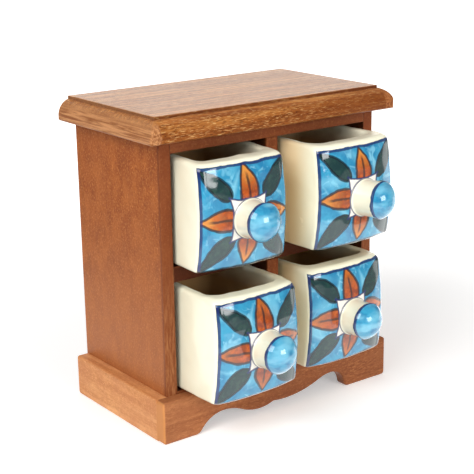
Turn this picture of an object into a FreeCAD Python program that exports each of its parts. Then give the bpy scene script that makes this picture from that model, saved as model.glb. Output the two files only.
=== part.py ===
import FreeCAD, Part
import math
import os
import Sketcher

# A small wooden chest with four glazed ceramic drawers, two over two.
# Row frame: +Z up, front towards -Y, origin on the ground in the middle of the chest's width,
# halfway between the back edge of the top and the tip of the foremost knob.

doc = FreeCAD.newDocument("jewelry_drawer_box")
sheet = doc.addObject("Spreadsheet::Sheet", "sizes")

# Driving sizes in millimetres, unless a name says share or count.
driving_sizes = {
    # carcass
    "carcass_width": 137.0,
    "carcass_depth": 79.0,
    "side_thickness": 6.5,
    "divider_thickness": 7.2,
    "bottom_thickness": 6.0,
    "shelf_thickness": 7.7,
    "rail_board_thickness": 6.6,
    "floor_level": 23.5,
    "lower_bay_height": 57.8,
    "upper_bay_height": 56.9,
    "board_edge_round": 0.5,
    # back panel and its rabbets
    "back_thickness": 4.0,
    "rabbet_width": 3.2,
    "back_fit": 0.15,
    # moulded top
    "top_thickness": 12.5,
    "top_left_overhang": 8.8,
    "top_right_overhang": 9.3,
    "top_front_overhang": 7.3,
    "top_rear_overhang": 1.5,
    "moulding_step": 1.3,
    "moulding_radius": 8.6,
    "left_moulding_width": 6.1,
    "right_moulding_width": 7.2,
    "front_moulding_width": 6.2,
    "top_lower_round": 1.1,
    "top_corner_radius": 1.5,
    "top_field_round": 0.35,
    # plinth
    "plinth_height": 22.4,
    "plinth_thickness": 6.4,
    "plinth_end_round": 1.8,
    "plinth_edge_round": 0.9,
    # scalloped lower edge of the apron, hand sawn and not quite symmetrical
    "left_foot_width": 19.8,
    "left_shoulder_run": 17.5,
    "left_peak_height": 8.8,
    "left_shoulder_share": 0.2,
    "left_slope_share": 0.5,
    "left_lobe_place": 14.1,
    "left_lobe_height": 3.3,
    "notch_place": 5.0,
    "notch_height": 5.1,
    "right_lobe_place": 2.5,
    "right_lobe_height": 4.45,
    "right_slope_share": 0.75,
    "right_peak_height": 10.9,
    "right_shoulder_run": 12.5,
    "right_shoulder_share": 0.2,
    "right_foot_width": 27.4,
    # ceramic drawers
    "drawer_side_clearance": 2.0,
    "drawer_side_lean": 1.1,
    "drawer_running_gap": 0.3,
    "drawer_seat_gap": 0.1,
    "upper_head_clearance": 2.2,
    "lower_head_clearance": 3.1,
    "drawer_rear_clearance": 2.5,
    "drawer_wall": 6.0,
    "drawer_front_wall": 7.6,
    "drawer_floor": 6.0,
    "drawer_bulge": 6.0,
    "drawer_corner_radius": 4.0,
    "drawer_front_round": 4.8,
    "drawer_base_round": 2.4,
    "drawer_rim_round": 2.1,
    "cavity_corner_radius": 6.0,
    "cavity_floor_radius": 4.0,
    # ceramic knobs
    "knob_height": 25.0,
    "knob_base_radius": 9.6,
    "knob_waist": 0.35,
    "knob_end_radius": 9.8,
    "knob_standing_length": 10.6,
    "knob_dome_radius": 9.6,
    "knob_dome_height": 6.0,
    "knob_seat_margin": 0.25,
    "knob_seat_gap": 0.1,
    # each drawer: how far it stands open, how it sits askew in the play of its bay,
    # and where its knob was stuck on and how many degrees it leans to the right
    "upper_left_opening": 18.2,
    "upper_left_skew_share": -0.42,
    "upper_left_drift_share": 0.1,
    "upper_left_knob_offset": 1.0,
    "upper_left_knob_lean": 1.5,
    "upper_right_opening": 23.3,
    "upper_right_skew_share": 0.9,
    "upper_right_drift_share": 0.0,
    "upper_right_knob_offset": 2.3,
    "upper_right_knob_lean": 10.0,
    "lower_left_opening": 26.7,
    "lower_left_skew_share": 0.5,
    "lower_left_drift_share": 0.1,
    "lower_left_knob_offset": 2.2,
    "lower_left_knob_lean": -1.0,
    "lower_right_opening": 18.2,
    "lower_right_skew_share": 0.65,
    "lower_right_drift_share": -0.4,
    "lower_right_knob_offset": 1.2,
    "lower_right_knob_lean": 0.5,
    # brads, pins and screws
    "brad_diameter": 1.2,
    "brad_fit": 0.04,
    "brad_cover": 0.8,
    "carcass_brad_length": 16.0,
    "carcass_brad_inset": 15.0,
    "plinth_brad_length": 10.0,
    "plinth_brad_inset": 16.0,
    "apron_brad_low": 6.5,
    "apron_brad_high": 16.0,
    "pin_diameter": 1.1,
    "pin_length": 13.0,
    "pin_head_diameter": 2.4,
    "pin_head_height": 0.6,
    "pin_inset": 12.0,
    "screw_diameter": 3.0,
    "screw_fit": 0.05,
    "screw_length": 14.0,
    "screw_head_diameter": 6.0,
    "screw_head_height": 1.7,
    "screw_slot_width": 0.8,
    "screw_slot_depth": 0.7,
    "screw_inset": 16.0,
    "hole_end_gap": 0.5,
}

for row, (name, size) in enumerate(driving_sizes.items(), start=1):
    sheet.set(f"A{row}", name)
    sheet.set(f"B{row}", str(size))
    sheet.setAlias(f"B{row}", name)
doc.recompute()

# Levels, fits and places that follow from the driving sizes.
places = doc.addObject("App::VarSet", "places")
derived = {
    "half_width": "sizes.carcass_width / 2",
    "inner_half_width": "sizes.carcass_width / 2 - sizes.side_thickness",
    "upper_out": "max(sizes.upper_left_opening; sizes.upper_right_opening)",
    "lower_out": "max(sizes.lower_left_opening; sizes.lower_right_opening)",
    "knob_reach": "sizes.drawer_bulge + sizes.knob_standing_length + sizes.knob_dome_height",
    "foremost": "max(upper_out; lower_out) + knob_reach",
    "front": "(foremost - sizes.carcass_depth - sizes.top_rear_overhang) / 2",
    "rear": "front + sizes.carcass_depth",
    "board_depth": "sizes.carcass_depth - sizes.back_thickness",
    "bottom_under": "sizes.floor_level - sizes.bottom_thickness",
    "shelf_under": "sizes.floor_level + sizes.lower_bay_height",
    "shelf_top": "shelf_under + sizes.shelf_thickness",
    "rail_under": "shelf_top + sizes.upper_bay_height",
    "carcass_height": "rail_under + sizes.rail_board_thickness",
    "bay_width": "inner_half_width - sizes.divider_thickness / 2",
    "bay_centre": "(inner_half_width + sizes.divider_thickness / 2) / 2",
    "plinth_half": "half_width + sizes.plinth_thickness",
    "top_left": "-half_width - sizes.top_left_overhang",
    "top_right": "half_width + sizes.top_right_overhang",
    "top_front": "front - sizes.top_front_overhang",
    "top_rear": "rear + sizes.top_rear_overhang",
    "slab_thickness": "sizes.top_thickness - sizes.moulding_step",
    "moulding_drop": "min(sizes.moulding_radius; slab_thickness - sizes.top_lower_round - 0.2)",
    "drawer_width": "bay_width - 2 * sizes.drawer_side_clearance",
    "drawer_depth": "board_depth - sizes.drawer_rear_clearance",
    "upper_drawer_height": "sizes.upper_bay_height - sizes.drawer_seat_gap - sizes.upper_head_clearance",
    "lower_drawer_height": "sizes.lower_bay_height - sizes.drawer_seat_gap - sizes.lower_head_clearance",
    "drawer_play": "2 * (sizes.drawer_side_clearance - sizes.drawer_running_gap)",
    "brad_hole": "sizes.brad_diameter + 2 * sizes.brad_fit",
    "pin_hole": "sizes.pin_diameter + 2 * sizes.brad_fit",
    "screw_hole": "sizes.screw_diameter + 2 * sizes.screw_fit",
    "brad_margin": "sizes.brad_cover + sizes.hole_end_gap",
    "carcass_bite": "sizes.carcass_brad_length + brad_margin - sizes.side_thickness",
    "plinth_bite": "sizes.plinth_brad_length + brad_margin - sizes.plinth_thickness",
    "pin_bite": "sizes.pin_length - sizes.back_thickness + sizes.hole_end_gap",
    "screw_bite": "sizes.screw_length - sizes.rail_board_thickness + sizes.hole_end_gap",
    "pin_side": "half_width - sizes.side_thickness + sizes.rabbet_width / 2",
    "pin_low": "bottom_under + sizes.pin_inset",
    "pin_middle": "(bottom_under + carcass_height) / 2",
    "pin_high": "carcass_height - sizes.pin_inset",
    "screw_side": "inner_half_width - sizes.screw_inset",
    "screw_front": "front + sizes.screw_inset",
    "screw_rear": "rear - sizes.back_thickness - sizes.screw_inset",
}
for name, expression in derived.items():
    places.addProperty("App::PropertyFloat", name, "derived")
    places.setExpression(name, expression)
doc.recompute()


def value(expression):
    """The number that an expression on the sizes and places stands for now."""
    return float(places.evalExpression(expression))


def new_body(label):
    body = doc.addObject("PartDesign::Body", label)
    body.Label = label
    return body


def place(body, x, y, z):
    body.setExpression("Placement.Base.x", x)
    body.setExpression("Placement.Base.y", y)
    body.setExpression("Placement.Base.z", z)


def plane_sketch(body, role, offset=None):
    """A sketch on one of the body's own origin planes, moved along the plane's normal."""
    sketch = body.newObject("Sketcher::SketchObject", "sketch")
    plane = [item for item in body.Origin.OriginFeatures if item.Role == role][0]
    sketch.AttachmentSupport = [(plane, "")]
    sketch.MapMode = "FlatFace"
    if offset is not None:
        sketch.setExpression("AttachmentOffset.Base.z", offset)
    return sketch


def fix_point(sketch, geometry, position, across, up):
    """Hold one point of a sketch at two expressions, measured from the sketch's origin."""
    for kind, expression in (("DistanceX", across), ("DistanceY", up)):
        index = sketch.addConstraint(
            Sketcher.Constraint(kind, -1, 1, geometry, position, value(expression)))
        sketch.renameConstraint(index, f"place_{index}")
        sketch.setExpression(f"Constraints.place_{index}", expression)


def polygon(sketch, corners):
    """A closed outline of straight lines through corners given as expression pairs."""
    first = sketch.GeometryCount
    count = len(corners)
    spots = [FreeCAD.Vector(value(across), value(up), 0) for across, up in corners]
    for index in range(count):
        sketch.addGeometry(Part.LineSegment(spots[index], spots[(index + 1) % count]))
    for index in range(count):
        following = first + (index + 1) % count
        sketch.addConstraint(Sketcher.Constraint("Coincident", first + index, 2, following, 1))
        fix_point(sketch, first + index, 1, *corners[index])


def rectangle(sketch, low, high):
    polygon(sketch, [low, (high[0], low[1]), high, (low[0], high[1])])


def circles(sketch, centres, diameter):
    for across, up in centres:
        spot = FreeCAD.Vector(value(across), value(up), 0)
        radius = value(diameter) / 2
        index = sketch.addGeometry(Part.Circle(spot, FreeCAD.Vector(0, 0, 1), radius))
        fix_point(sketch, index, 3, across, up)
        size = sketch.addConstraint(Sketcher.Constraint("Diameter", index, 2 * radius))
        sketch.renameConstraint(size, f"size_{size}")
        sketch.setExpression(f"Constraints.size_{size}", diameter)


def pad(body, sketch, length, reverse=False):
    feature = body.newObject("PartDesign::Pad", "pad")
    feature.Profile = sketch
    feature.setExpression("Length", length)
    feature.Reversed = reverse
    doc.recompute()
    return feature


def pocket(body, sketch, length, reverse=False):
    """Cut a sketch into the body, and make sure that the cut took material away."""
    before = body.Tip.Shape.Volume
    feature = body.newObject("PartDesign::Pocket", "pocket")
    feature.Profile = sketch
    feature.setExpression("Length", length)
    feature.Reversed = reverse
    doc.recompute()
    if not feature.Shape.Volume < before - 1e-6:
        raise ValueError(f"a pocket of {body.Label} cut nothing")
    return feature


def mirror(body, feature, role):
    plane = [item for item in body.Origin.OriginFeatures if item.Role == role][0]
    twin = body.newObject("PartDesign::Mirrored", "mirrored")
    twin.Originals = [feature]
    twin.MirrorPlane = (plane, [""])
    body.Tip = twin
    doc.recompute()
    return twin


def edges_within(body, low, high):
    """Names of the edges whose whole length lies in a box; None leaves a side open."""
    slack = 0.02
    names = []
    for index, edge in enumerate(body.Tip.Shape.Edges, start=1):
        box = edge.BoundBox
        starts = (box.XMin, box.YMin, box.ZMin)
        ends = (box.XMax, box.YMax, box.ZMax)
        above = all(want is None or have >= want - slack for have, want in zip(starts, low))
        below = all(want is None or have <= want + slack for have, want in zip(ends, high))
        if above and below:
            names.append(f"Edge{index}")
    return names


def fillet(body, edges, radius):
    rounded = body.Tip
    feature = body.newObject("PartDesign::Fillet", "fillet")
    feature.Base = (rounded, edges)
    feature.setExpression("Radius", radius)
    doc.recompute()
    return feature


# Side panels: from the ground to the top, with a rabbet for the back panel.
def side_panel(label, side):
    body = new_body(label)
    outer = f"{side} * sizes.side_thickness"
    shoulder = f"{side} * sizes.rabbet_width"
    outline = plane_sketch(body, "XY_Plane")
    polygon(outline, [
        ("0", "0"), (outer, "0"), (outer, "sizes.carcass_depth"),
        (shoulder, "sizes.carcass_depth"), (shoulder, "places.board_depth"), ("0", "places.board_depth"),
    ])
    pad(body, outline, "places.carcass_height")
    x = value(outer)
    height = value("places.carcass_height")
    depth = value("sizes.carcass_depth")
    corners = edges_within(body, (x, None, 0), (x, 0, height))
    corners += edges_within(body, (x, depth, 0), (x, None, height))
    upright = [name for name in corners if body.Tip.Shape.getElement(name).BoundBox.ZLength > height / 2]
    fillet(body, upright, "sizes.board_edge_round")

    board_middles = [
        "places.bottom_under + sizes.bottom_thickness / 2",
        "places.shelf_under + sizes.shelf_thickness / 2",
        "places.rail_under + sizes.rail_board_thickness / 2",
    ]
    along = ["sizes.carcass_brad_inset", "places.board_depth - sizes.carcass_brad_inset"]
    inside = plane_sketch(body, "YZ_Plane")
    circles(inside, [(y, z) for y in along for z in board_middles], "places.brad_hole")
    pocket(body, inside, "sizes.side_thickness - sizes.brad_cover", reverse=side > 0)

    outside = plane_sketch(body, "YZ_Plane", outer)
    plinth_along = ["sizes.plinth_brad_inset", "sizes.carcass_depth - sizes.plinth_brad_inset"]
    circles(outside, [(y, "sizes.plinth_height / 2") for y in plinth_along], "places.brad_hole")
    pocket(body, outside, "places.plinth_bite", reverse=side < 0)

    face = plane_sketch(body, "XZ_Plane")
    middle = f"{side} * sizes.side_thickness / 2"
    circles(face, [(middle, "sizes.apron_brad_low"), (middle, "sizes.apron_brad_high")], "places.brad_hole")
    pocket(body, face, "places.plinth_bite")

    rabbet = plane_sketch(body, "XZ_Plane", "-places.board_depth")
    in_rabbet = f"{side} * sizes.rabbet_width / 2"
    levels = ["places.pin_low", "places.pin_middle", "places.pin_high"]
    circles(rabbet, [(in_rabbet, z) for z in levels], "places.pin_hole")
    pocket(body, rabbet, "places.pin_bite", reverse=True)
    place(body, f"{side} * places.inner_half_width", "places.front", "0")
    return body


parts = []
parts.append(side_panel("side_panel_left", -1))
parts.append(side_panel("side_panel_right", 1))


# Horizontal boards between the side panels, with brad holes in both ends.
def cross_board(label, thickness, level, notched=False, screwed=False, pinned=False):
    body = new_body(label)
    outline = plane_sketch(body, "XY_Plane")
    half = "places.inner_half_width"
    if notched:
        notch = "sizes.divider_thickness / 2"
        middle = "places.board_depth / 2"
        polygon(outline, [
            (f"-{half}", "0"), (half, "0"), (half, "places.board_depth"), (notch, "places.board_depth"),
            (notch, middle), (f"-{notch}", middle), (f"-{notch}", "places.board_depth"),
            (f"-{half}", "places.board_depth"),
        ])
    else:
        rectangle(outline, (f"-{half}", "0"), (half, "places.board_depth"))
    pad(body, outline, thickness)
    fillet(body, front_long_edges(body), "sizes.board_edge_round")

    ends = plane_sketch(body, "YZ_Plane", half)
    along = ["sizes.carcass_brad_inset", "places.board_depth - sizes.carcass_brad_inset"]
    circles(ends, [(y, f"{thickness} / 2") for y in along], "places.brad_hole")
    holes = pocket(body, ends, "places.carcass_bite")
    mirror(body, holes, "YZ_Plane")
    if screwed:
        screw_holes(body)
    if pinned:
        rear = plane_sketch(body, "XZ_Plane", "-places.board_depth")
        centres = [(f"{side} * places.bay_centre", f"{thickness} / 2") for side in (-1, 1)]
        circles(rear, centres, "places.pin_hole")
        pocket(body, rear, "places.pin_bite", reverse=True)
    place(body, "0", "places.front", level)
    return body


def front_long_edges(body):
    names = edges_within(body, (None, 0, None), (None, 0, None))
    return [name for name in names if body.Tip.Shape.getElement(name).BoundBox.XLength > 1]


def screw_holes(body):
    """Clearance holes up through the board, countersunk on its underside."""
    centres = [(f"{side} * places.screw_side", f"{y} - places.front")
               for side in (-1, 1) for y in ("places.screw_front", "places.screw_rear")]
    shanks = plane_sketch(body, "XY_Plane")
    circles(shanks, centres, "places.screw_hole")
    pocket(body, shanks, "sizes.rail_board_thickness", reverse=True)
    heads = plane_sketch(body, "XY_Plane")
    circles(heads, centres, "sizes.screw_head_diameter + 2 * sizes.screw_fit")
    pocket(body, heads, "sizes.screw_head_height", reverse=True)


parts.append(cross_board("bottom_board", "sizes.bottom_thickness", "places.bottom_under", pinned=True))
parts.append(cross_board("middle_shelf", "sizes.shelf_thickness", "places.shelf_under", notched=True))
parts.append(cross_board(
    "top_rail_board", "sizes.rail_board_thickness", "places.rail_under", screwed=True, pinned=True))


# The divider stands on the bottom board and is halved over the shelf from the front.
def centre_divider():
    body = new_body("centre_divider")
    outline = plane_sketch(body, "YZ_Plane", "-sizes.divider_thickness / 2")
    lower = "sizes.lower_bay_height"
    upper = "sizes.lower_bay_height + sizes.shelf_thickness"
    top = "places.rail_under - sizes.floor_level"
    middle = "places.board_depth / 2"
    polygon(outline, [
        ("0", "0"), ("places.board_depth", "0"), ("places.board_depth", top), ("0", top),
        ("0", upper), (middle, upper), (middle, lower), ("0", lower),
    ])
    pad(body, outline, "sizes.divider_thickness")
    front = edges_within(body, (None, 0, None), (None, 0, None))
    upright = [name for name in front if body.Tip.Shape.getElement(name).BoundBox.ZLength > 1]
    fillet(body, upright, "sizes.board_edge_round")
    place(body, "0", "places.front", "sizes.floor_level")
    return body


parts.append(centre_divider())


# Thin back panel in the rabbets, from under the bottom board up to the top.
def back_panel():
    body = new_body("back_panel")
    outline = plane_sketch(body, "XZ_Plane")
    half = "(places.inner_half_width + sizes.rabbet_width - sizes.back_fit)"
    rectangle(outline, (f"-{half}", "places.bottom_under"), (half, "places.carcass_height"))
    pad(body, outline, "sizes.back_thickness")
    holes = plane_sketch(body, "XZ_Plane")
    circles(holes, pin_places(), "places.pin_hole")
    pocket(body, holes, "sizes.back_thickness", reverse=True)
    place(body, "0", "places.rear", "0")
    return body


def pin_places():
    """Centres of the back panel's pins, as (x, z) expressions."""
    levels = ["places.pin_low", "places.pin_middle", "places.pin_high"]
    in_sides = [(f"{side} * places.pin_side", z) for side in (-1, 1) for z in levels]
    boards = [
        "places.bottom_under + sizes.bottom_thickness / 2",
        "places.rail_under + sizes.rail_board_thickness / 2",
    ]
    in_boards = [(f"{side} * places.bay_centre", z) for side in (-1, 1) for z in boards]
    return in_sides + in_boards


parts.append(back_panel())


# Moulded top: a quarter-round along the front and both sides, which mitres at the corners,
# then a small step and a raised field. The back edge is plain.
def top_board():
    body = new_body("top_board")
    slab = plane_sketch(body, "XY_Plane")
    rectangle(slab, ("places.top_left", "places.top_front"), ("places.top_right", "places.top_rear"))
    pad(body, slab, "places.slab_thickness")
    fillet(body, moulded_edges(body, value("places.slab_thickness")), "places.moulding_drop")
    fillet(body, moulded_edges(body, 0), "sizes.top_lower_round")

    for x, inward in (("places.top_left", 1), ("places.top_right", -1)):
        trim = plane_sketch(body, "XY_Plane")
        corner_trim(trim, x, inward)
        pocket(body, trim, "sizes.top_thickness", reverse=True)

    root = "places.moulding_drop / 3"
    field = plane_sketch(body, "XY_Plane", f"places.slab_thickness - {root}")
    rectangle(field, ("places.top_left + sizes.left_moulding_width",
                      "places.top_front + sizes.front_moulding_width"),
              ("places.top_right - sizes.right_moulding_width", "places.top_rear"))
    pad(body, field, f"sizes.moulding_step + {root}")
    level = value("sizes.top_thickness")
    fillet(body, edges_within(body, (None, None, level), (None, None, level)), "sizes.top_field_round")

    holes = plane_sketch(body, "XY_Plane")
    centres = [(f"{side} * places.screw_side", y)
               for side in (-1, 1) for y in ("places.screw_front", "places.screw_rear")]
    circles(holes, centres, "places.screw_hole")
    pocket(body, holes, "places.screw_bite", reverse=True)
    place(body, "0", "0", "places.carcass_height")
    return body


def moulded_edges(body, level):
    """The slab's edges at a level, without the plain back one."""
    rear = value("places.top_rear")
    names = edges_within(body, (None, None, level), (None, None, level))
    return [name for name in names if body.Tip.Shape.getElement(name).BoundBox.YMin < rear - 1]


def corner_trim(sketch, x, inward):
    """The waste outside a rounded front corner; inward is the way into the board along X."""
    radius = "sizes.top_corner_radius"
    y = "places.top_front"
    outer_x = f"{x} - {inward}"
    outer_y = f"{y} - 1"
    in_x = f"{x} + {inward} * {radius}"
    in_y = f"{y} + {radius}"
    size = value(radius)
    centre = FreeCAD.Vector(value(in_x), value(in_y), 0)
    begin = math.pi if inward > 0 else 1.5 * math.pi
    circle = Part.Circle(centre, FreeCAD.Vector(0, 0, 1), size)
    arc = sketch.addGeometry(Part.ArcOfCircle(circle, begin, begin + math.pi / 2))
    on_side = (x, in_y)
    on_front = (in_x, y)
    if inward > 0:
        arc_ends = (on_side, on_front)
        walk = [on_front, (in_x, outer_y), (outer_x, outer_y), (outer_x, in_y), on_side]
    else:
        arc_ends = (on_front, on_side)
        walk = [on_side, (outer_x, in_y), (outer_x, outer_y), (in_x, outer_y), on_front]
    spots = [FreeCAD.Vector(value(one), value(other), 0) for one, other in walk]
    lines = [sketch.addGeometry(Part.LineSegment(spots[index], spots[index + 1])) for index in range(4)]
    sketch.addConstraint(Sketcher.Constraint("Coincident", arc, 2, lines[0], 1))
    for index in range(3):
        sketch.addConstraint(Sketcher.Constraint("Coincident", lines[index], 2, lines[index + 1], 1))
    sketch.addConstraint(Sketcher.Constraint("Coincident", lines[3], 2, arc, 1))
    fix_point(sketch, arc, 1, *arc_ends[0])
    fix_point(sketch, arc, 2, *arc_ends[1])
    for index in range(3):
        fix_point(sketch, lines[index], 2, *walk[index + 1])
    bound = sketch.addConstraint(Sketcher.Constraint("Radius", arc, size))
    sketch.renameConstraint(bound, "corner_radius")
    sketch.setExpression("Constraints.corner_radius", radius)


parts.append(top_board())


# Side boards of the plinth, glued and bradded to the outside of the side panels.
def plinth_side(label, side):
    body = new_body(label)
    outline = plane_sketch(body, "YZ_Plane")
    rectangle(outline, ("0", "0"), ("sizes.carcass_depth", "sizes.plinth_height"))
    pad(body, outline, "sizes.plinth_thickness", reverse=side < 0)
    depth = value("sizes.carcass_depth")
    height = value("sizes.plinth_height")
    x = side * value("sizes.plinth_thickness")
    rear_ends = edges_within(body, (None, depth, None), (None, depth, None))
    across = [name for name in rear_ends if body.Tip.Shape.getElement(name).BoundBox.XLength > 1]
    fillet(body, across, "sizes.plinth_end_round")
    outer_edges = edges_within(body, (x, 0.1, 0.1), (x, None, height))
    top_edge = edges_within(body, (x, 0, height), (x, None, height))
    fillet(body, sorted(set(outer_edges + top_edge)), "sizes.plinth_edge_round")

    inside = plane_sketch(body, "YZ_Plane")
    along = ["sizes.plinth_brad_inset", "sizes.carcass_depth - sizes.plinth_brad_inset"]
    circles(inside, [(y, "sizes.plinth_height / 2") for y in along], "places.brad_hole")
    pocket(body, inside, "sizes.plinth_thickness - sizes.brad_cover", reverse=side > 0)
    place(body, f"{side} * places.half_width", "places.front", "0")
    return body


parts.append(plinth_side("plinth_left", -1))
parts.append(plinth_side("plinth_right", 1))


# Scalloped apron. Its lower edge is a chain of ogees between level points.
class EdgeChain:
    """Adds lines and arcs end to end in a sketch, with every joint held by expressions."""

    def __init__(self, sketch, start):
        self.sketch = sketch
        self.start = start
        self.here = start
        self.first = None
        self.last = None

    def spot(self, point):
        return FreeCAD.Vector(value(point[0]), value(point[1]), 0)

    def add(self, geometry, point, starts_at=1):
        """Join a new edge to the last one and hold its far end at a point."""
        index = self.sketch.addGeometry(geometry)
        ends_at = 3 - starts_at
        if self.last is None:
            self.first = (index, starts_at)
            fix_point(self.sketch, index, starts_at, *self.start)
        else:
            self.sketch.addConstraint(
                Sketcher.Constraint("Coincident", self.last[0], self.last[1], index, starts_at))
        if point is None:
            self.sketch.addConstraint(
                Sketcher.Constraint("Coincident", index, ends_at, self.first[0], self.first[1]))
        else:
            fix_point(self.sketch, index, ends_at, *point)
            self.here = point
        self.last = (index, ends_at)
        return index

    def line(self, point):
        target = self.start if point is None else point
        self.add(Part.LineSegment(self.spot(self.here), self.spot(target)), point)

    def arc(self, point, level_at_end):
        """An arc to a point, level (tangent to the horizontal) at its end or at its start."""
        start = self.spot(self.here)
        end = self.spot(point)
        level, other = (end, start) if level_at_end else (start, end)
        run = other.x - level.x
        rise = other.y - level.y
        radius = (run * run + rise * rise) / (2 * rise)
        centre = FreeCAD.Vector(level.x, level.y + radius, 0)
        from_angle = math.atan2(start.y - centre.y, start.x - centre.x)
        to_angle = math.atan2(end.y - centre.y, end.x - centre.x)
        forward = (to_angle - from_angle) % (2 * math.pi) < math.pi
        circle = Part.Circle(centre, FreeCAD.Vector(0, 0, 1), abs(radius))
        if forward:
            geometry = Part.ArcOfCircle(circle, from_angle, to_angle)
        else:
            geometry = Part.ArcOfCircle(circle, to_angle, from_angle)
        index = self.add(geometry, point, starts_at=1 if forward else 2)
        level_end = self.last[1] if level_at_end else 3 - self.last[1]
        self.sketch.addConstraint(Sketcher.Constraint("Vertical", index, 3, index, level_end))

    def ogee(self, point, share):
        """Two arcs that leave level and arrive level; share is the first arc's part."""
        across = f"{self.here[0]} + ({share}) * ({point[0]} - ({self.here[0]}))"
        up = f"{self.here[1]} + ({share}) * ({point[1]} - ({self.here[1]}))"
        self.arc((across, up), level_at_end=False)
        self.arc(point, level_at_end=True)


def apron():
    body = new_body("apron_front")
    sketch = plane_sketch(body, "XZ_Plane")
    left_foot = "(sizes.left_foot_width - places.plinth_half)"
    right_foot = "(places.plinth_half - sizes.right_foot_width)"
    chain = EdgeChain(sketch, ("-places.plinth_half", "0"))
    chain.line((left_foot, "0"))
    chain.ogee((f"{left_foot} + sizes.left_shoulder_run", "sizes.left_peak_height"),
               "sizes.left_shoulder_share")
    chain.ogee(("-sizes.left_lobe_place", "sizes.left_lobe_height"), "sizes.left_slope_share")
    chain.arc(("-sizes.notch_place", "sizes.notch_height"), level_at_end=False)
    chain.arc(("sizes.right_lobe_place", "sizes.right_lobe_height"), level_at_end=True)
    chain.ogee((f"{right_foot} - sizes.right_shoulder_run", "sizes.right_peak_height"),
               "sizes.right_slope_share")
    chain.ogee((right_foot, "0"), "1 - sizes.right_shoulder_share")
    chain.line(("places.plinth_half", "0"))
    chain.line(("places.plinth_half", "sizes.plinth_height"))
    chain.line(("-places.plinth_half", "sizes.plinth_height"))
    chain.line(None)
    pad(body, sketch, "sizes.plinth_thickness")

    half = value("places.plinth_half")
    height = value("sizes.plinth_height")
    ends = edges_within(body, (-half, None, 0), (-half, None, height))
    ends += edges_within(body, (half, None, 0), (half, None, height))
    across = [name for name in ends if body.Tip.Shape.getElement(name).BoundBox.YLength > 1]
    fillet(body, across, "sizes.plinth_end_round")
    face = -value("sizes.plinth_thickness")
    fillet(body, edges_within(body, (None, face, None), (None, face, None)), "sizes.plinth_edge_round")

    holes = plane_sketch(body, "XZ_Plane")
    middle = "(places.half_width - sizes.side_thickness / 2)"
    centres = [(f"{side} * {middle}", z)
               for side in (-1, 1) for z in ("sizes.apron_brad_low", "sizes.apron_brad_high")]
    circles(holes, centres, "places.brad_hole")
    pocket(body, holes, "sizes.plinth_thickness - sizes.brad_cover", reverse=True)
    place(body, "0", "places.front", "0")
    return body


parts.append(apron())


# Slip-cast drawers: thick rounded walls, a front pillowed like a piece of a large sphere.
def drawer_place(name, side):
    """Expressions for a drawer's place and turn, askew within the play of its bay."""
    rear_swing = f"(sizes.{name}_skew_share * places.drawer_play)"
    spare = f"(places.drawer_play - abs({rear_swing})) / 2"
    drift = f"{rear_swing} / 2 + sizes.{name}_drift_share * {spare}"
    across = f"{side} * places.bay_centre + {drift}"
    out = f"places.front - sizes.{name}_opening"
    turn = f"asin({rear_swing} / places.drawer_depth)"
    return across, out, turn


def drawer(name, side, level, height):
    body = new_body(f"drawer_{name}")
    half = "places.drawer_width / 2"
    half_at_top = f"({half} - sizes.drawer_side_lean)"
    section = plane_sketch(body, "XZ_Plane", "sizes.drawer_bulge + 1")
    polygon(section, [(f"-{half}", "0"), (half, "0"), (half_at_top, height), (f"-{half_at_top}", height)])
    pad(body, section, "places.drawer_depth + sizes.drawer_bulge + 1", reverse=True)
    tall = value(height)
    depth = value("places.drawer_depth")
    rear = edges_within(body, (None, depth, 0), (None, depth, None))
    upright = [item for item in rear if body.Tip.Shape.getElement(item).BoundBox.ZLength > tall / 2]
    fillet(body, upright, "sizes.drawer_corner_radius")

    reach, ball = pillow_sphere(height)
    pillow_cut(body, reach, ball, f"{height} / 2")

    front = [f"Edge{index}" for index, edge in enumerate(body.Tip.Shape.Edges, start=1)
             if is_front_upright(edge, value(ball), tall)]
    fillet(body, front, "sizes.drawer_front_round")
    fillet(body, edges_within(body, (None, None, 0), (None, None, 0)), "sizes.drawer_base_round")

    cavity = plane_sketch(body, "XY_Plane", height)
    wall = "sizes.drawer_wall"
    rectangle(cavity, (f"-{half_at_top} + {wall}", "sizes.drawer_front_wall"),
              (f"{half_at_top} - {wall}", f"places.drawer_depth - {wall}"))
    pocket(body, cavity, f"{height} - sizes.drawer_floor")
    inner = value(f"{half_at_top} - {wall}")
    floor = value("sizes.drawer_floor")
    far = value(f"places.drawer_depth - {wall}")
    near = value("sizes.drawer_front_wall")
    inside = edges_within(body, (-inner, near, floor), (inner, far, tall))
    upright = [item for item in inside if body.Tip.Shape.getElement(item).BoundBox.ZLength > 1]
    fillet(body, upright, "sizes.cavity_corner_radius")
    round_floor = edges_within(body, (-inner, near, floor), (inner, far, floor))
    fillet(body, round_floor, "sizes.cavity_floor_radius")
    fillet(body, edges_within(body, (None, None, tall), (None, None, tall)), "sizes.drawer_rim_round")

    offset, lean, depth_of_seat = knob_seat(name, height)
    seat = plane_sketch(body, "XZ_Plane", f"sizes.drawer_bulge - {depth_of_seat}")
    seat.setExpression("AttachmentOffset.Base.x", offset)
    seat.setExpression("AttachmentOffset.Base.y", "sizes.knob_height")
    turn_about(seat, FreeCAD.Vector(0, 1, 0), lean)
    circles(seat, [("0", "0")], "2 * (sizes.knob_base_radius + sizes.knob_seat_gap)")
    pocket(body, seat, f"{depth_of_seat} + 2 * sizes.drawer_bulge", reverse=True)

    across, out, turn = drawer_place(name, side)
    place(body, across, out, f"{level} + sizes.drawer_seat_gap")
    body.setExpression("Placement.Rotation.Angle", turn)
    return body


def pillow_sphere(height):
    """Radius of the pillow's sphere, and its reach from the middle of the front to a lower corner."""
    reach = f"sqrt((places.drawer_width / 2) ^ 2 + ({height} / 2) ^ 2)"
    return reach, f"((({reach}) ^ 2 + sizes.drawer_bulge ^ 2) / (2 * sizes.drawer_bulge))"


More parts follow.
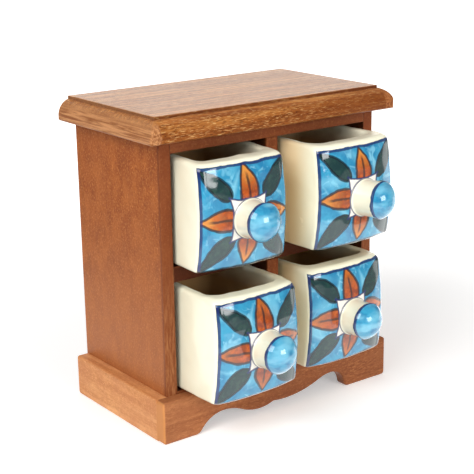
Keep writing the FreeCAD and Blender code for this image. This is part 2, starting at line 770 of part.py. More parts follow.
def knob_seat(name, height):
    """A knob's offset, its lean, and how far its seat's centre lies behind the pillow's apex."""
    ball = pillow_sphere(height)[1]
    offset = f"sizes.{name}_knob_offset"
    lean = f"sizes.{name}_knob_lean"
    across = f"(abs({offset}) + sizes.knob_base_radius + sizes.knob_seat_gap)"
    rise = f"(sizes.knob_height - {height} / 2)"
    fall = f"(({across}) ^ 2 + {rise} ^ 2) / (2 * {ball})"
    tilt = f"sizes.knob_base_radius * abs(sin({lean} * 1 deg))"
    return offset, lean, f"({fall} + {tilt} + sizes.knob_seat_margin)"


def turn_about(sketch, axis, degrees):
    """Turn a sketch in its plane's frame by an expression in degrees."""
    offset = sketch.AttachmentOffset
    offset.Rotation = FreeCAD.Rotation(axis, 1)
    sketch.AttachmentOffset = offset
    sketch.setExpression("AttachmentOffset.Rotation.Angle", degrees)


def pillow_cut(body, reach, ball, middle):
    """Turn away everything in front of a sphere that meets the front's four corners."""
    sketch = plane_sketch(body, "XY_Plane", middle)
    beyond = f"{reach} + 3"
    ahead = "-sizes.drawer_bulge - 3"
    radius = value(ball)
    end_x = value(beyond)
    centre = FreeCAD.Vector(0, radius - value("sizes.drawer_bulge"), 0)
    end_y = centre.y - math.sqrt(radius ** 2 - end_x ** 2)
    circle = Part.Circle(centre, FreeCAD.Vector(0, 0, 1), radius)
    end_angle = math.atan2(end_y - centre.y, end_x)
    arc = sketch.addGeometry(Part.ArcOfCircle(circle, -math.pi / 2, end_angle))
    corners = [FreeCAD.Vector(end_x, end_y, 0), FreeCAD.Vector(end_x, value(ahead), 0),
               FreeCAD.Vector(0, value(ahead), 0), FreeCAD.Vector(0, -value("sizes.drawer_bulge"), 0)]
    lines = [sketch.addGeometry(Part.LineSegment(corners[index], corners[index + 1])) for index in range(3)]
    loop = [arc] + lines
    for index in range(4):
        following = loop[(index + 1) % 4]
        sketch.addConstraint(Sketcher.Constraint("Coincident", loop[index], 2, following, 1))
    fix_point(sketch, arc, 1, "0", "-sizes.drawer_bulge")
    fix_point(sketch, arc, 3, "0", f"{ball} - sizes.drawer_bulge")
    fix_point(sketch, lines[0], 2, beyond, ahead)
    fix_point(sketch, lines[1], 2, "0", ahead)
    sketch.addConstraint(Sketcher.Constraint("Vertical", lines[0]))
    before = body.Tip.Shape.Volume
    feature = body.newObject("PartDesign::Groove", "pillow")
    feature.Profile = sketch
    feature.ReferenceAxis = (sketch, ["V_Axis"])
    feature.Angle = 360
    doc.recompute()
    if not feature.Shape.Volume < before - 1:
        raise ValueError(f"the pillow of {body.Label} cut nothing")


def is_front_upright(edge, ball_radius, tall):
    """True for the curved edges, whole or in two halves, where the pillowed front meets the sides."""
    centre_y = ball_radius - value("sizes.drawer_bulge")
    middle = FreeCAD.Vector(0, centre_y, tall / 2)
    reaches = [vertex.Point.distanceToPoint(middle) for vertex in edge.Vertexes]
    on_ball = all(abs(reach - ball_radius) < 0.01 for reach in reaches)
    beside = all(abs(vertex.X) > value("places.drawer_width") / 3 for vertex in edge.Vertexes)
    return on_ball and beside and edge.BoundBox.ZLength > tall / 3


# Knob: a slightly waisted barrel with a domed end, stuck into a shallow seat in the front.
def knob(name, height, drawer_body):
    body = new_body(f"knob_{name}")
    sketch = plane_sketch(body, "XY_Plane", "sizes.knob_height")
    offset, lean, seat_depth = knob_seat(name, height)
    sketch.setExpression("AttachmentOffset.Base.x", offset)
    sketch.setExpression("AttachmentOffset.Base.y", f"{seat_depth} - sizes.drawer_bulge")
    turn_about(sketch, FreeCAD.Vector(0, 0, 1), lean)
    barrel = f"(sizes.knob_standing_length + {seat_depth})"
    tip_y = f"-{barrel} - sizes.knob_dome_height"
    heel = FreeCAD.Vector(0, 0, 0)
    base = FreeCAD.Vector(value("sizes.knob_base_radius"), 0, 0)
    end = FreeCAD.Vector(value("sizes.knob_end_radius"), -value(barrel), 0)
    waist = (base + end) * 0.5 - FreeCAD.Vector(value("sizes.knob_waist"), 0, 0)
    shoulder = FreeCAD.Vector(value("sizes.knob_dome_radius"), -value(barrel), 0)
    tip = FreeCAD.Vector(0, value(tip_y), 0)
    rise = value("sizes.knob_dome_height")
    ball = (shoulder.x ** 2 + rise ** 2) / (2 * rise)
    on_dome = tip + FreeCAD.Vector(ball * math.sin(0.4), ball * (1 - math.cos(0.4)), 0)

    lines = [Part.LineSegment(heel, base), Part.Arc(base, waist, end), Part.LineSegment(end, shoulder),
             Part.Arc(shoulder, on_dome, tip), Part.LineSegment(tip, heel)]
    for line in lines:
        sketch.addGeometry(line)
    for one, other in ((0, 1), (1, 2), (2, 3), (3, 4), (4, 0)):
        ends = [nearest_end(sketch, one, other), nearest_end(sketch, other, one)]
        sketch.addConstraint(Sketcher.Constraint("Coincident", one, ends[0], other, ends[1]))
    fix_point(sketch, 0, 1, "0", "0")
    fix_point(sketch, 0, 2, "sizes.knob_base_radius", "0")
    fix_point(sketch, 2, 1, "sizes.knob_end_radius", f"-{barrel}")
    fix_point(sketch, 2, 2, "sizes.knob_dome_radius", f"-{barrel}")
    fix_point(sketch, 4, 1, "0", tip_y)
    sketch.addConstraint(Sketcher.Constraint("PointOnObject", 3, 3, -2))
    hollow = sketch.addConstraint(Sketcher.Constraint("Radius", 1, sketch.Geometry[1].Radius))
    sketch.renameConstraint(hollow, "waist_radius")
    chord = f"(({barrel} ^ 2 + (sizes.knob_end_radius - sizes.knob_base_radius) ^ 2) / 4)"
    bend = f"({chord} + sizes.knob_waist ^ 2) / (2 * sizes.knob_waist)"
    sketch.setExpression("Constraints.waist_radius", bend)

    feature = body.newObject("PartDesign::Revolution", "turned")
    feature.Profile = sketch
    feature.ReferenceAxis = (sketch, ["V_Axis"])
    feature.Angle = 360
    doc.recompute()
    body.setExpression("Placement", f"{drawer_body.Name}.Placement")
    return body


def nearest_end(sketch, one, other):
    """Which end of one edge meets the other edge: 1 for its start, 2 for its end."""
    gaps = {}
    for position in (1, 2):
        here = sketch.getPoint(one, position)
        gaps[position] = min(here.distanceToPoint(sketch.getPoint(other, end)) for end in (1, 2))
    return min(gaps, key=gaps.get)


drawer_bays = {
    "upper_left": (-1, "places.shelf_top", "places.upper_drawer_height"),
    "upper_right": (1, "places.shelf_top", "places.upper_drawer_height"),
    "lower_left": (-1, "sizes.floor_level", "places.lower_drawer_height"),
    "lower_right": (1, "sizes.floor_level", "places.lower_drawer_height"),
}
for name, (side, level, height) in drawer_bays.items():
    drawer_body = drawer(name, side, level, height)
    parts.append(drawer_body)
    parts.append(knob(name, height, drawer_body))


# Fasteners: each group is one node of separate solids.
def fastener_group(label, solids):
    feature = doc.addObject("Part::Feature", label)
    feature.Label = label
    feature.Shape = Part.makeCompound(solids)
    feature.Placement = FreeCAD.Placement()
    parts.append(feature)


def rod(start, direction, diameter, length):
    return Part.makeCylinder(diameter / 2, length, FreeCAD.Vector(*start), FreeCAD.Vector(*direction))


def carcass_brads():
    diameter = value("sizes.brad_diameter")
    length = value("sizes.carcass_brad_length")
    head = value("places.half_width - sizes.brad_cover")
    front = value("places.front")
    inset = value("sizes.carcass_brad_inset")
    along = (front + inset, front + value("places.board_depth") - inset)
    levels = (
        value("places.bottom_under + sizes.bottom_thickness / 2"),
        value("places.shelf_under + sizes.shelf_thickness / 2"),
        value("places.rail_under + sizes.rail_board_thickness / 2"),
    )
    return [rod((side * head, y, z), (-side, 0, 0), diameter, length)
            for side in (-1, 1) for y in along for z in levels]


def plinth_brads():
    diameter = value("sizes.brad_diameter")
    length = value("sizes.plinth_brad_length")
    cover = value("sizes.brad_cover")
    front = value("places.front")
    inset = value("sizes.plinth_brad_inset")
    level = value("sizes.plinth_height / 2")
    outer = value("places.plinth_half") - cover
    along = (front + inset, value("places.rear") - inset)
    sides = [rod((side * outer, y, level), (-side, 0, 0), diameter, length)
             for side in (-1, 1) for y in along]
    face = front - value("sizes.plinth_thickness") + cover
    middle = value("places.half_width - sizes.side_thickness / 2")
    heights = (value("sizes.apron_brad_low"), value("sizes.apron_brad_high"))
    apron_row = [rod((side * middle, face, z), (0, 1, 0), diameter, length)
                 for side in (-1, 1) for z in heights]
    return sides + apron_row


def back_pins():
    rear = value("places.rear")
    diameter = value("sizes.pin_diameter")
    length = value("sizes.pin_length")
    head_diameter = value("sizes.pin_head_diameter")
    head_height = value("sizes.pin_head_height")
    solids = []
    for across, up in pin_places():
        start = (value(across), rear, value(up))
        shank = rod(start, (0, -1, 0), diameter, length)
        head = rod(start, (0, 1, 0), head_diameter, head_height)
        solids.append(shank.fuse(head).removeSplitter())
    return solids


def top_screws():
    """Flat-headed slotted screws, heads up in the rail board's underside."""
    under = value("places.rail_under")
    head_height = value("sizes.screw_head_height")
    head_radius = value("sizes.screw_head_diameter") / 2
    shank_radius = value("sizes.screw_diameter") / 2
    length = value("sizes.screw_length")
    slot_width = value("sizes.screw_slot_width")
    slot_depth = value("sizes.screw_slot_depth")
    solids = []
    for side in (-1, 1):
        for along in ("places.screw_front", "places.screw_rear"):
            x = side * value("places.screw_side")
            y = value(along)
            head = Part.makeCylinder(head_radius, head_height, FreeCAD.Vector(x, y, under))
            shank = Part.makeCylinder(shank_radius, length, FreeCAD.Vector(x, y, under))
            corner = FreeCAD.Vector(x - head_radius, y - slot_width / 2, under)
            slot = Part.makeBox(2 * head_radius, slot_width, slot_depth, corner)
            solids.append(head.fuse(shank).cut(slot).removeSplitter())
    return solids


fastener_group("carcass_brads", carcass_brads())
fastener_group("plinth_brads", plinth_brads())
fastener_group("back_panel_pins", back_pins())
fastener_group("top_screws", top_screws())

# Every object has to be sound before anything is written.
doc.recompute()
for item in doc.Objects:
    if "Invalid" in item.State or "Error" in item.State:
        raise ValueError(f"{item.Label} failed: {item.State}")
for item in parts:
    if item.Shape.isNull() or not item.Shape.isValid():
        raise ValueError(f"{item.Label} has no sound shape")

os.makedirs("parts", exist_ok=True)
for item in parts:
    item.Shape.exportStep(f"parts/{item.Label}.step")
    box = item.Shape.optimalBoundingBox(False, False)
    print(f"{item.Label}: {len(item.Shape.Solids)} solids, {item.Shape.Volume:.0f} mm3, "
          f"x {box.XMin:.2f} {box.XMax:.2f}, y {box.YMin:.2f} {box.YMax:.2f}, "
          f"z {box.ZMin:.2f} {box.ZMax:.2f}")
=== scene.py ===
import math

import bpy
from mathutils import Matrix, Quaternion, Vector


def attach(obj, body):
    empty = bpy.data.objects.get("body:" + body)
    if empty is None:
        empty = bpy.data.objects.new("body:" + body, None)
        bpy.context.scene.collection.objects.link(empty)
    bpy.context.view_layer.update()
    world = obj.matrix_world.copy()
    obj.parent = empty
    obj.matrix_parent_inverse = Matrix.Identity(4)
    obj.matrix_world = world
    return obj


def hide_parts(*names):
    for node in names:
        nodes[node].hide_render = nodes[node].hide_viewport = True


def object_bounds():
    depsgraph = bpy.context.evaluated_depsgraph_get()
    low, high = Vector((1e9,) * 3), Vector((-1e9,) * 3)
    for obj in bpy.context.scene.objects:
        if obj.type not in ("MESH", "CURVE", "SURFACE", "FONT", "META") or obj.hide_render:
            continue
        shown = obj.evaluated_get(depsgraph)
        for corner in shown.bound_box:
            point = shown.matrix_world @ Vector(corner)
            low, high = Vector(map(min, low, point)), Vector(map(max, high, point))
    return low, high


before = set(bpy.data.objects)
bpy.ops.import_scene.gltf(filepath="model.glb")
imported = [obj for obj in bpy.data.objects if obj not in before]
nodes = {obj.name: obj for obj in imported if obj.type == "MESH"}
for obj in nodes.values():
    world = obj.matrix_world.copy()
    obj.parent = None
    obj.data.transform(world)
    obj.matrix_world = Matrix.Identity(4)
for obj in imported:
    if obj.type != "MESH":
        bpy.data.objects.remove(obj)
cadLow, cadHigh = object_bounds()
scene = bpy.context.scene
mm = 0.001
print("frame loaded:", len(nodes), "nodes")


# helpers for the shader and geometry sheets
def paint(red, green, blue):  # a colour as read off a colour chart, 0 to 255
    def straight(value):
        value /= 255
        return value / 12.92 if value <= 0.04045 else ((value + 0.055) / 1.055) ** 2.4
    return (straight(red), straight(green), straight(blue), 1.0)


class Wire:  # one socket of a sheet, so that sums can be written as sums
    def __init__(self, sheet, socket):
        self.sheet, self.socket = sheet, socket

    def __add__(self, other):
        return self.sheet.sum("ADD", self, other)

    def __radd__(self, other):
        return self.sheet.sum("ADD", other, self)

    def __sub__(self, other):
        return self.sheet.sum("SUBTRACT", self, other)

    def __rsub__(self, other):
        return self.sheet.sum("SUBTRACT", other, self)

    def __mul__(self, other):
        return self.sheet.sum("MULTIPLY", self, other)

    def __rmul__(self, other):
        return self.sheet.sum("MULTIPLY", other, self)

    def __truediv__(self, other):
        return self.sheet.sum("DIVIDE", self, other)

    def __rtruediv__(self, other):
        return self.sheet.sum("DIVIDE", other, self)

    def __pow__(self, other):
        return self.sheet.sum("POWER", self, other)

    def __abs__(self):
        return self.sheet.sum("ABSOLUTE", self)


class Sheet:  # a material's node tree
    def __init__(self, name):
        self.material = bpy.data.materials.new(name)
        self.material.use_nodes = True
        self.tree = self.material.node_tree
        self.tree.nodes.clear()
        self.place = self.node("ShaderNodeTexCoord")["Object"]

    def node(self, kind, settings=None, sockets=None):
        made = self.tree.nodes.new(kind)
        for key, value in (settings or {}).items():
            if key == "stops":  # of a colour ramp: (place, colour)
                ramp = made.color_ramp
                while len(ramp.elements) < len(value):
                    ramp.elements.new(0.5)
                for element, (spot, colour) in zip(ramp.elements, value):
                    element.position, element.color = spot, colour
            else:
                setattr(made, key, value)
        for key, value in (sockets or {}).items():
            if value is None:
                continue
            if isinstance(value, Wire):
                self.tree.links.new(value.socket, made.inputs[key])
            else:
                made.inputs[key].default_value = value
        outs = {}
        for socket in made.outputs:
            if socket.enabled and socket.name not in outs:
                outs[socket.name] = Wire(self, socket)
        return outs

    def sum(self, operation, first, second=None):
        return self.node("ShaderNodeMath", {"operation": operation}, {0: first, 1: second})["Value"]

    def vector(self, operation, first, second=None, third=None):
        made = self.node("ShaderNodeVectorMath", {"operation": operation}, {0: first, 1: second, 2: third})
        return made["Value" if operation in ("LENGTH", "DISTANCE", "DOT_PRODUCT") else "Vector"]

    def scaled(self, vector, factor):
        return self.node("ShaderNodeVectorMath", {"operation": "SCALE"}, {
            0: vector, "Scale": factor})["Vector"]

    def least(self, first, second):
        return self.sum("MINIMUM", first, second)

    def most(self, first, second):
        return self.sum("MAXIMUM", first, second)

    def fade(self, value, start, end, low=0.0, high=1.0):  # soft step from low to high
        return self.node("ShaderNodeMapRange", {"interpolation_type": "SMOOTHSTEP"}, {
            "Value": value, "From Min": start, "From Max": end, "To Min": low, "To Max": high})["Result"]

    def tint(self, factor, first, second, mode="MIX"):  # sockets 6 and 7 are the two colours
        made = self.node("ShaderNodeMix", {"data_type": "RGBA", "blend_type": mode}, {
            0: factor, 6: first, 7: second})
        return made["Result"]

    def noise(self, vector, scale, detail=2.0, rough=0.5, twist=0.0):
        return self.node("ShaderNodeTexNoise", None, {
            "Vector": vector, "Scale": scale, "Detail": detail, "Roughness": rough,
            "Distortion": twist})["Fac"]

    def mapped(self, cut=(0, 0, 0), stretch=(1, 1, 1)):  # the box's mm, moved to another part of the log
        return self.node("ShaderNodeMapping", None, {
            "Vector": self.place, "Location": cut, "Scale": [share / mm for share in stretch]})["Vector"]

    def ownFrame(self, corner, angle):  # mm in the frame of one drawer or knob
        return self.node("ShaderNodeMapping", {"vector_type": "TEXTURE"}, {
            "Vector": self.place, "Location": [value * mm for value in corner],
            "Rotation": (0, 0, angle), "Scale": (mm, mm, mm)})["Vector"]

    def parts(self, vector):
        made = self.node("ShaderNodeSeparateXYZ", None, {"Vector": vector})
        return made["X"], made["Y"], made["Z"]

    def joined(self, x, y, z):
        return self.node("ShaderNodeCombineXYZ", None, {"X": x, "Y": y, "Z": z})["Vector"]

    def bumped(self, height, strength, distance, normal=None):
        return self.node("ShaderNodeBump", None, {
            "Height": height, "Strength": strength, "Distance": distance, "Normal": normal})["Normal"]

    def finish(self, sockets):
        shader = self.node("ShaderNodeBsdfPrincipled", None, sockets)
        self.node("ShaderNodeOutputMaterial", None, {"Surface": shader["BSDF"]})
        return self.material


class Maker(Sheet):  # a Geometry Nodes group with named inputs
    def __init__(self, name, given):
        self.tree = bpy.data.node_groups.new(name, "GeometryNodeTree")
        sockets = [("Geometry", "OUTPUT", "Geometry"), ("Geometry", "INPUT", "Geometry"),
                   ("Material", "INPUT", "Material")]
        sockets += [(label, "INPUT", "Vector" if isinstance(value, tuple) else "Float")
                    for label, value in given.items()]
        for label, way, kind in sockets:
            self.tree.interface.new_socket(label, in_out=way, socket_type="NodeSocket" + kind)
        self.given = self.node("NodeGroupInput")

    def section(self, value, start, end):  # 0 before start, 1 after end, straight between
        return self.node("ShaderNodeMapRange", None, {
            "Value": value, "From Min": start, "From Max": end})["Result"]

    def lathe(self, around, rows):  # a grid to be bent round an axis: angle, and place along the profile
        grid = self.node("GeometryNodeMeshGrid", None, {
            "Size X": 1.0, "Size Y": 1.0, "Vertices X": around + 1, "Vertices Y": rows})["Mesh"]
        u, v = self.parts(self.node("GeometryNodeInputPosition")["Position"])[:2]
        return grid, (u + 0.5) * math.tau, v + 0.5

    def bent(self, grid, place, gap):  # puts the points in place and welds those closer than the gap
        for kind, key, value in (("SetPosition", "Position", place), ("MergeByDistance", "Distance", gap),
                                 ("SetShadeSmooth", "Shade Smooth", True)):
            grid = self.node("GeometryNode" + kind, None, {"Geometry": grid, key: value})["Geometry"]
        return grid

    def spun(self, vector, angle):
        return self.node("ShaderNodeVectorRotate", {"rotation_type": "Z_AXIS"}, {
            "Vector": vector, "Angle": angle})["Vector"]

    def placed(self, point):  # from a drawer's own mm to its place in the box, in metres
        return self.scaled(self.vector("ADD", self.spun(point, self.given["Yaw"]), self.given["Corner"]), mm)

    def close(self, geometry):
        whole = self.node("GeometryNodeRealizeInstances", None, {"Geometry": geometry})["Geometry"]
        dyed = self.node("GeometryNodeSetMaterial", None, {
            "Geometry": whole, "Material": self.given["Material"]})["Geometry"]
        self.node("NodeGroupOutput", None, {"Geometry": dyed})


def grown(name, maker, material, given, points=(), faces=()):  # runs a sheet once and keeps the plain mesh
    seedMesh = bpy.data.meshes.new(name + "_seed")
    seedMesh.from_pydata(points, [], faces)
    piece = bpy.data.objects.new(name, seedMesh)
    scene.collection.objects.link(piece)
    modifier = piece.modifiers.new(name, "NODES")
    modifier.node_group = maker.tree
    values = dict(given, Material=material)
    for item in maker.tree.interface.items_tree:
        if item.item_type == "SOCKET" and item.in_out == "INPUT" and item.name in values:
            modifier[item.identifier] = values[item.name]
    graph = bpy.context.evaluated_depsgraph_get()
    plain = bpy.data.meshes.new_from_object(piece.evaluated_get(graph), depsgraph=graph)
    piece.modifiers.remove(modifier)
    piece.data = plain
    return piece


def giveMaterial(name, material):
    mesh = nodes[name].data
    mesh.materials.clear()
    mesh.materials.append(material)


# camera
cameraValues = {
    "place": (-0.3766, -0.4915, 0.2688), "target": (-0.0231, -0.0156, 0.0976), "roll": -0.8719,
    "lens": 92.75, "sensor": 36.0, "clip": (0.01, 50.0)}
cameraData = bpy.data.cameras.new("camera")
cameraData.lens = cameraValues["lens"]
cameraData.sensor_width = cameraValues["sensor"]
cameraData.clip_start, cameraData.clip_end = cameraValues["clip"]
camera = bpy.data.objects.new("camera", cameraData)
scene.collection.objects.link(camera)
look = Vector(cameraValues["target"]) - Vector(cameraValues["place"])
roll = Quaternion((0, 0, 1), math.radians(cameraValues["roll"]))
camera.rotation_mode = "QUATERNION"
camera.rotation_quaternion = look.to_track_quat("-Z", "Y") @ roll
camera.location = cameraValues["place"]
scene.camera = camera
scene.view_settings.view_transform = "Standard"
print("camera set")


# stained wood
def woodMaterial(name, look):
    sheet = Sheet(name)

    def grained(share):  # mm, drawn out along the grain
        return sheet.mapped(look["cut"], [share if way == look["grain"] else 1 for way in "XYZ"])

    fibres, poreSpace, plain = grained(look["stretch"]), grained(look["poreStretch"]), grained(1)
    x, y, z = (spot - shift for spot, shift in zip(sheet.parts(plain), look["cut"]))
    ways = {"X": x, "Y": y, "Z": z}  # mm from the middle of the box and from the ground

    rings = sheet.noise(fibres, look["ringScale"], 3, 0.55, 0.6)
    fine = sheet.noise(fibres, 1.3, 3, 0.6)
    pores = sheet.noise(poreSpace, look["poreScale"], 2, 0.6)
    cloud = sheet.noise(plain, 0.045, 3, 0.6)
    speck = sheet.noise(plain, 0.9, 3, 0.7)

    wood = sheet.node("ShaderNodeValToRGB", {"stops": [
        (0.30, look["dark"]), (0.5, look["middle"]), (0.70, look["light"])]}, {"Fac": rings})["Color"]
    wood = sheet.tint(sheet.fade(fine, 0.35, 0.75) * look["fineShare"], wood, look["dark"])
    facing = sheet.node("ShaderNodeNewGeometry")["Normal"]
    facingUp = sheet.fade(sheet.parts(facing)[2], 0.55, 0.95)
    calm = 1.0 - facingUp * look["fieldSpared"]  # a sanded field shows less of the open grain
    poreMask = sheet.fade(pores, 0.56, 0.68)
    wood = sheet.tint(poreMask * look["poreShare"] * (0.4 + 0.6 * calm), wood, look["pore"])
    paleMask = sheet.fade(pores, 0.44, 0.34)
    wood = sheet.tint(paleMask * look["flameShare"] * (0.1 + 0.9 * calm), wood, look["flame"])
    wood = sheet.tint(sheet.fade(cloud, 0.35, 0.7) * look["cloudShare"], wood, look["cloud"])
    wood = sheet.tint(sheet.fade(speck, 0.5, 0.75) * look["speckShare"], wood, look["speck"])
    # painted shade: faces that don't face up are multiplied darker than the lit upper faces
    wood = sheet.tint(1.0 - facingUp, wood, look["upright"], "MULTIPLY")
    for way, start, end, share, faded in look["zones"]:  # lighter or darker towards one end along an axis; on the faces inside the carcass this is painted shade
        spot = ways[way] + (cloud - 0.5) * (0.25 * abs(end - start))
        wood = sheet.tint(sheet.fade(spot, start, end) * share * calm * calm, wood, faded)
    for start, end, share, dark, pale in look["ends"]:  # routed board ends, streaked along the cutter's run
        streaks = sheet.noise(sheet.mapped(look["cut"], (1.0, 0.045, 1.0)), 0.8, 4, 0.6, 0.4)
        routed = sheet.tint(sheet.fade(streaks, 0.36, 0.64), dark, pale)
        paintedHighlight = sheet.fade(z, *look["highlightRise"]) * 0.55  # painted highlight on the upper, rounder part of the moulding's ends
        routed = sheet.tint(paintedHighlight, routed, pale)
        routed = sheet.tint(poreMask * 0.2, routed, dark)
        spot = x + (speck - 0.5) * 0.8
        wood = sheet.tint(sheet.fade(spot, start, end) * share * (1.0 - facingUp), wood, routed)
    for front, start, end, share, bare in look["rubbed"]:  # stain rubbed off a front edge in streaks
        streaks = sheet.noise(sheet.mapped(look["cut"], (1.0, 1.0, 0.11)), 1.1, 4, 0.65)
        spot = sheet.fade(y, front + 0.5, front + 0.2) * sheet.fade(z, start, end)
        wood = sheet.tint(sheet.fade(streaks, 0.4, 0.66) * spot * share, wood, bare)
    for way, low, high, share, stainAndShade in look["creases"]:  # painted shade, with some stain, in the corner at the foot of a step
        mask = sheet.fade(ways[way], low - 0.2, low + 0.1) * sheet.fade(ways[way], high + 0.2, high - 0.1)
        wood = sheet.tint(mask * share * calm, wood, stainAndShade)

    rounded = sheet.node("ShaderNodeBevel", {"samples": 4}, {"Radius": 0.7 * mm})["Normal"]
    edge = sheet.fade(1.0 - sheet.vector("DOT_PRODUCT", rounded, facing), 0.01, 0.16)
    wear = edge * sheet.fade(sheet.noise(plain, 0.12, 3, 0.7), 0.38, 0.62)
    wood = sheet.tint(wear * look["wearShare"], wood, look["worn"])

    roughness = look["rough"] + 0.14 * (fine - 0.5) + 0.12 * (cloud - 0.5) + 0.12 * wear
    height = fine * 0.5 - poreMask * 0.6 + speck * 0.3
    return sheet.finish({
        "Base Color": wood, "Roughness": roughness, "Specular IOR Level": look["gloss"],
        "Normal": sheet.bumped(height, look["bump"], 0.1 * mm, rounded),
        "Coat Weight": facingUp * look["polish"], "Coat Roughness": 0.38})


# cut: where in the log the board was cut, so that no two are alike; zones (painted shade where they darken
# the faces inside the carcass): axis, from, to, share, colour; creases: axis, low, high, share, colour; ends:
# from, to, share, dark, pale; rubbed: front, from, to, share, colour; all places in mm
# painted shade for the faces inside the carcass, the rails' hidden faces and the back panel's inner face
paintedInsideShade = paint(58, 26, 10)
sideWood = {
    "grain": "Z", "stretch": 0.5, "poreStretch": 0.85, "ringScale": 0.14, "poreScale": 0.9,
    "cut": (3.0, 11.0, 5.0), "dark": paint(134, 66, 26), "middle": paint(155, 81, 33),
    "light": paint(174, 97, 42), "fineShare": 0.35, "pore": paint(118, 54, 22), "poreShare": 0.6,
    "flame": paint(206, 136, 74), "flameShare": 0.5, "cloud": paint(176, 104, 56), "cloudShare": 0.35,
    "speck": paint(208, 134, 74), "speckShare": 0.65, "worn": paint(206, 140, 84), "wearShare": 0.6,
    "rough": 0.5, "bump": 0.6, "gloss": 0.14, "polish": 0.0, "upright": (1.0, 1.0, 1.0, 1.0),
    "fieldSpared": 0.0, "creases": [], "ends": [],
    "rubbed": [(-15.6, 115.0, 25.0, 0.5, paint(190, 132, 84))],
    "zones": [("Z", 120.0, 20.0, 0.5, paint(182, 116, 70)), ("Y", -12.6, -15.2, 0.8, paint(112, 54, 26))]}
# the top's faces that don't face up carry painted shade, darker than the lit field on top
topWood = dict(
    sideWood, grain="X", stretch=0.03, poreStretch=0.12, ringScale=0.42, poreScale=2.6,
    cut=(7.0, 2.0, 9.0), dark=paint(132, 66, 24), middle=paint(190, 116, 54), light=paint(238, 170, 96),
    fineShare=0.6, pore=paint(78, 34, 12), poreShare=0.9, flame=paint(255, 212, 146), flameShare=0.85,
    cloud=paint(200, 130, 76), cloudShare=0.25, speckShare=0.2, worn=paint(226, 160, 110), rough=0.42,
    bump=0.9, polish=0.4, upright=(0.68, 0.61, 0.53, 1.0), fieldSpared=0.45,
    # creases: painted shade with some stain at the foot of the raised field's step
    creases=[("Z", 163.2, 164.7, 0.5, paint(72, 32, 12)), ("X", -71.7, -71.5, 0.45, paint(120, 66, 44))],
    ends=[(-70.6, -71.8, 0.85, paint(142, 84, 48), paint(212, 152, 102)),
          (71.0, 72.2, 0.9, paint(120, 62, 30), paint(176, 112, 64))],
    highlightRise=(157.0, 162.5), rubbed=[], zones=[("X", -20.0, 70.0, 0.7, paint(116, 56, 22))])
railWood = dict(
    sideWood, grain="X", stretch=0.05, cut=(13.0, 4.0, 1.0), dark=paint(98, 46, 20),
    middle=paint(122, 62, 30), light=paint(138, 76, 40), flameShare=0.15, cloud=paint(132, 74, 42),
    speck=paint(146, 86, 50), worn=paint(168, 104, 62), rubbed=[],
    zones=[("Y", -15.2, -13.6, 0.85, paintedInsideShade)])
dividerWood = dict(railWood, grain="Z", cut=(17.0, 8.0, 3.0))
plinthWood = dict(
    sideWood, grain="Y", stretch=0.08, poreStretch=0.35, poreScale=1.4, cut=(23.0, 1.0, 7.0),
    dark=paint(192, 120, 70), middle=paint(214, 146, 90), light=paint(240, 180, 124),
    pore=paint(172, 100, 54), poreShare=0.35, flame=paint(240, 180, 120), cloud=paint(198, 128, 84),
    cloudShare=0.6, speck=paint(236, 174, 118), worn=paint(232, 166, 96), rough=0.55, rubbed=[], zones=[])
apronWood = dict(
    plinthWood, grain="X", poreStretch=0.3, cut=(29.0, 3.0, 2.0), dark=paint(128, 70, 38),
    middle=paint(148, 86, 50), light=paint(178, 114, 70), pore=paint(112, 58, 28), poreShare=0.65,
    flame=paint(196, 132, 80), cloud=paint(132, 76, 46), cloudShare=0.5, speck=paint(180, 114, 68),
    speckShare=0.5, worn=paint(214, 148, 92), wearShare=0.8,
    zones=[("X", -20.0, -70.0, 0.25, paint(186, 124, 82)), ("X", -73.4, -74.6, 0.8, paint(218, 148, 88))])
backWood = dict(
    sideWood, stretch=0.05, cut=(31.0, 6.0, 4.0), dark=paint(136, 80, 46), middle=paint(158, 98, 58),
    light=paint(176, 116, 72), wearShare=0.4, rough=0.62, zones=[("Y", 60.0, 59.6, 0.85, paintedInsideShade)])

boardLooks = {
    "top_board": topWood,
    "side_panel_left": dict(sideWood, zones=sideWood["zones"] + [("X", -62.5, -62.1, 0.85, paintedInsideShade)]),
    "side_panel_right": dict(sideWood, cut=(41.0, 7.0, 8.0),
                             zones=sideWood["zones"] + [("X", 62.5, 62.1, 0.85, paintedInsideShade)]),
    "top_rail_board": railWood,
    # painted shade on the shelf's faces that don't face up, such as its front edge between the drawers
    "middle_shelf": dict(railWood, cut=(19.0, 9.0, 5.0), upright=(0.4, 0.34, 0.3, 1.0)),
    "centre_divider": dividerWood,
    "bottom_board": dict(railWood, cut=(37.0, 5.0, 6.0)),
    "apron_front": apronWood,
    "plinth_left": plinthWood,
    "plinth_right": dict(plinthWood, cut=(43.0, 2.0, 1.0)),
    "back_panel": backWood,
}
for name, boardLook in boardLooks.items():
    giveMaterial(name, woodMaterial("wood_" + name, boardLook))
print("wood stained:", len(boardLooks), "boards")


# steel of the fasteners
def steelMaterial(name):
    sheet = Sheet(name)
    plain = sheet.mapped()
    grainy = sheet.noise(plain, 3.0, 3, 0.6)
    dull = sheet.noise(plain, 0.6, 2, 0.5)
    colour = sheet.tint(sheet.fade(dull, 0.4, 0.65), paint(188, 184, 176), paint(128, 118, 106))
    return sheet.finish({"Base Color": colour, "Metallic": 1.0, "Roughness": 0.32 + 0.25 * dull,
                         "Normal": sheet.bumped(grainy, 0.3, 0.05 * mm)})


steel = steelMaterial("drawn_steel")
for name in ("carcass_brads", "plinth_brads", "top_screws"):
    giveMaterial(name, steel)

pinValues = {
    "Shank Radius": 0.55, "Shank Length": 13.0, "Head Radius": 1.19, "Head Height": 0.6, "Hammering": 0.12,
    "Seed": 4.0}
pinLayout = {  # mm: the back panel's face, then x and z of the pins along its sides and ends
    "face": 63.4, "sides": ((-63.6, 63.6), (29.5, 85.0, 140.5)), "ends": ((-32.8, 32.8), (20.5, 149.2))}
pinPlaces = [(x, pinLayout["face"], z) for edge in ("sides", "ends")
             for x in pinLayout[edge][0] for z in pinLayout[edge][1]]


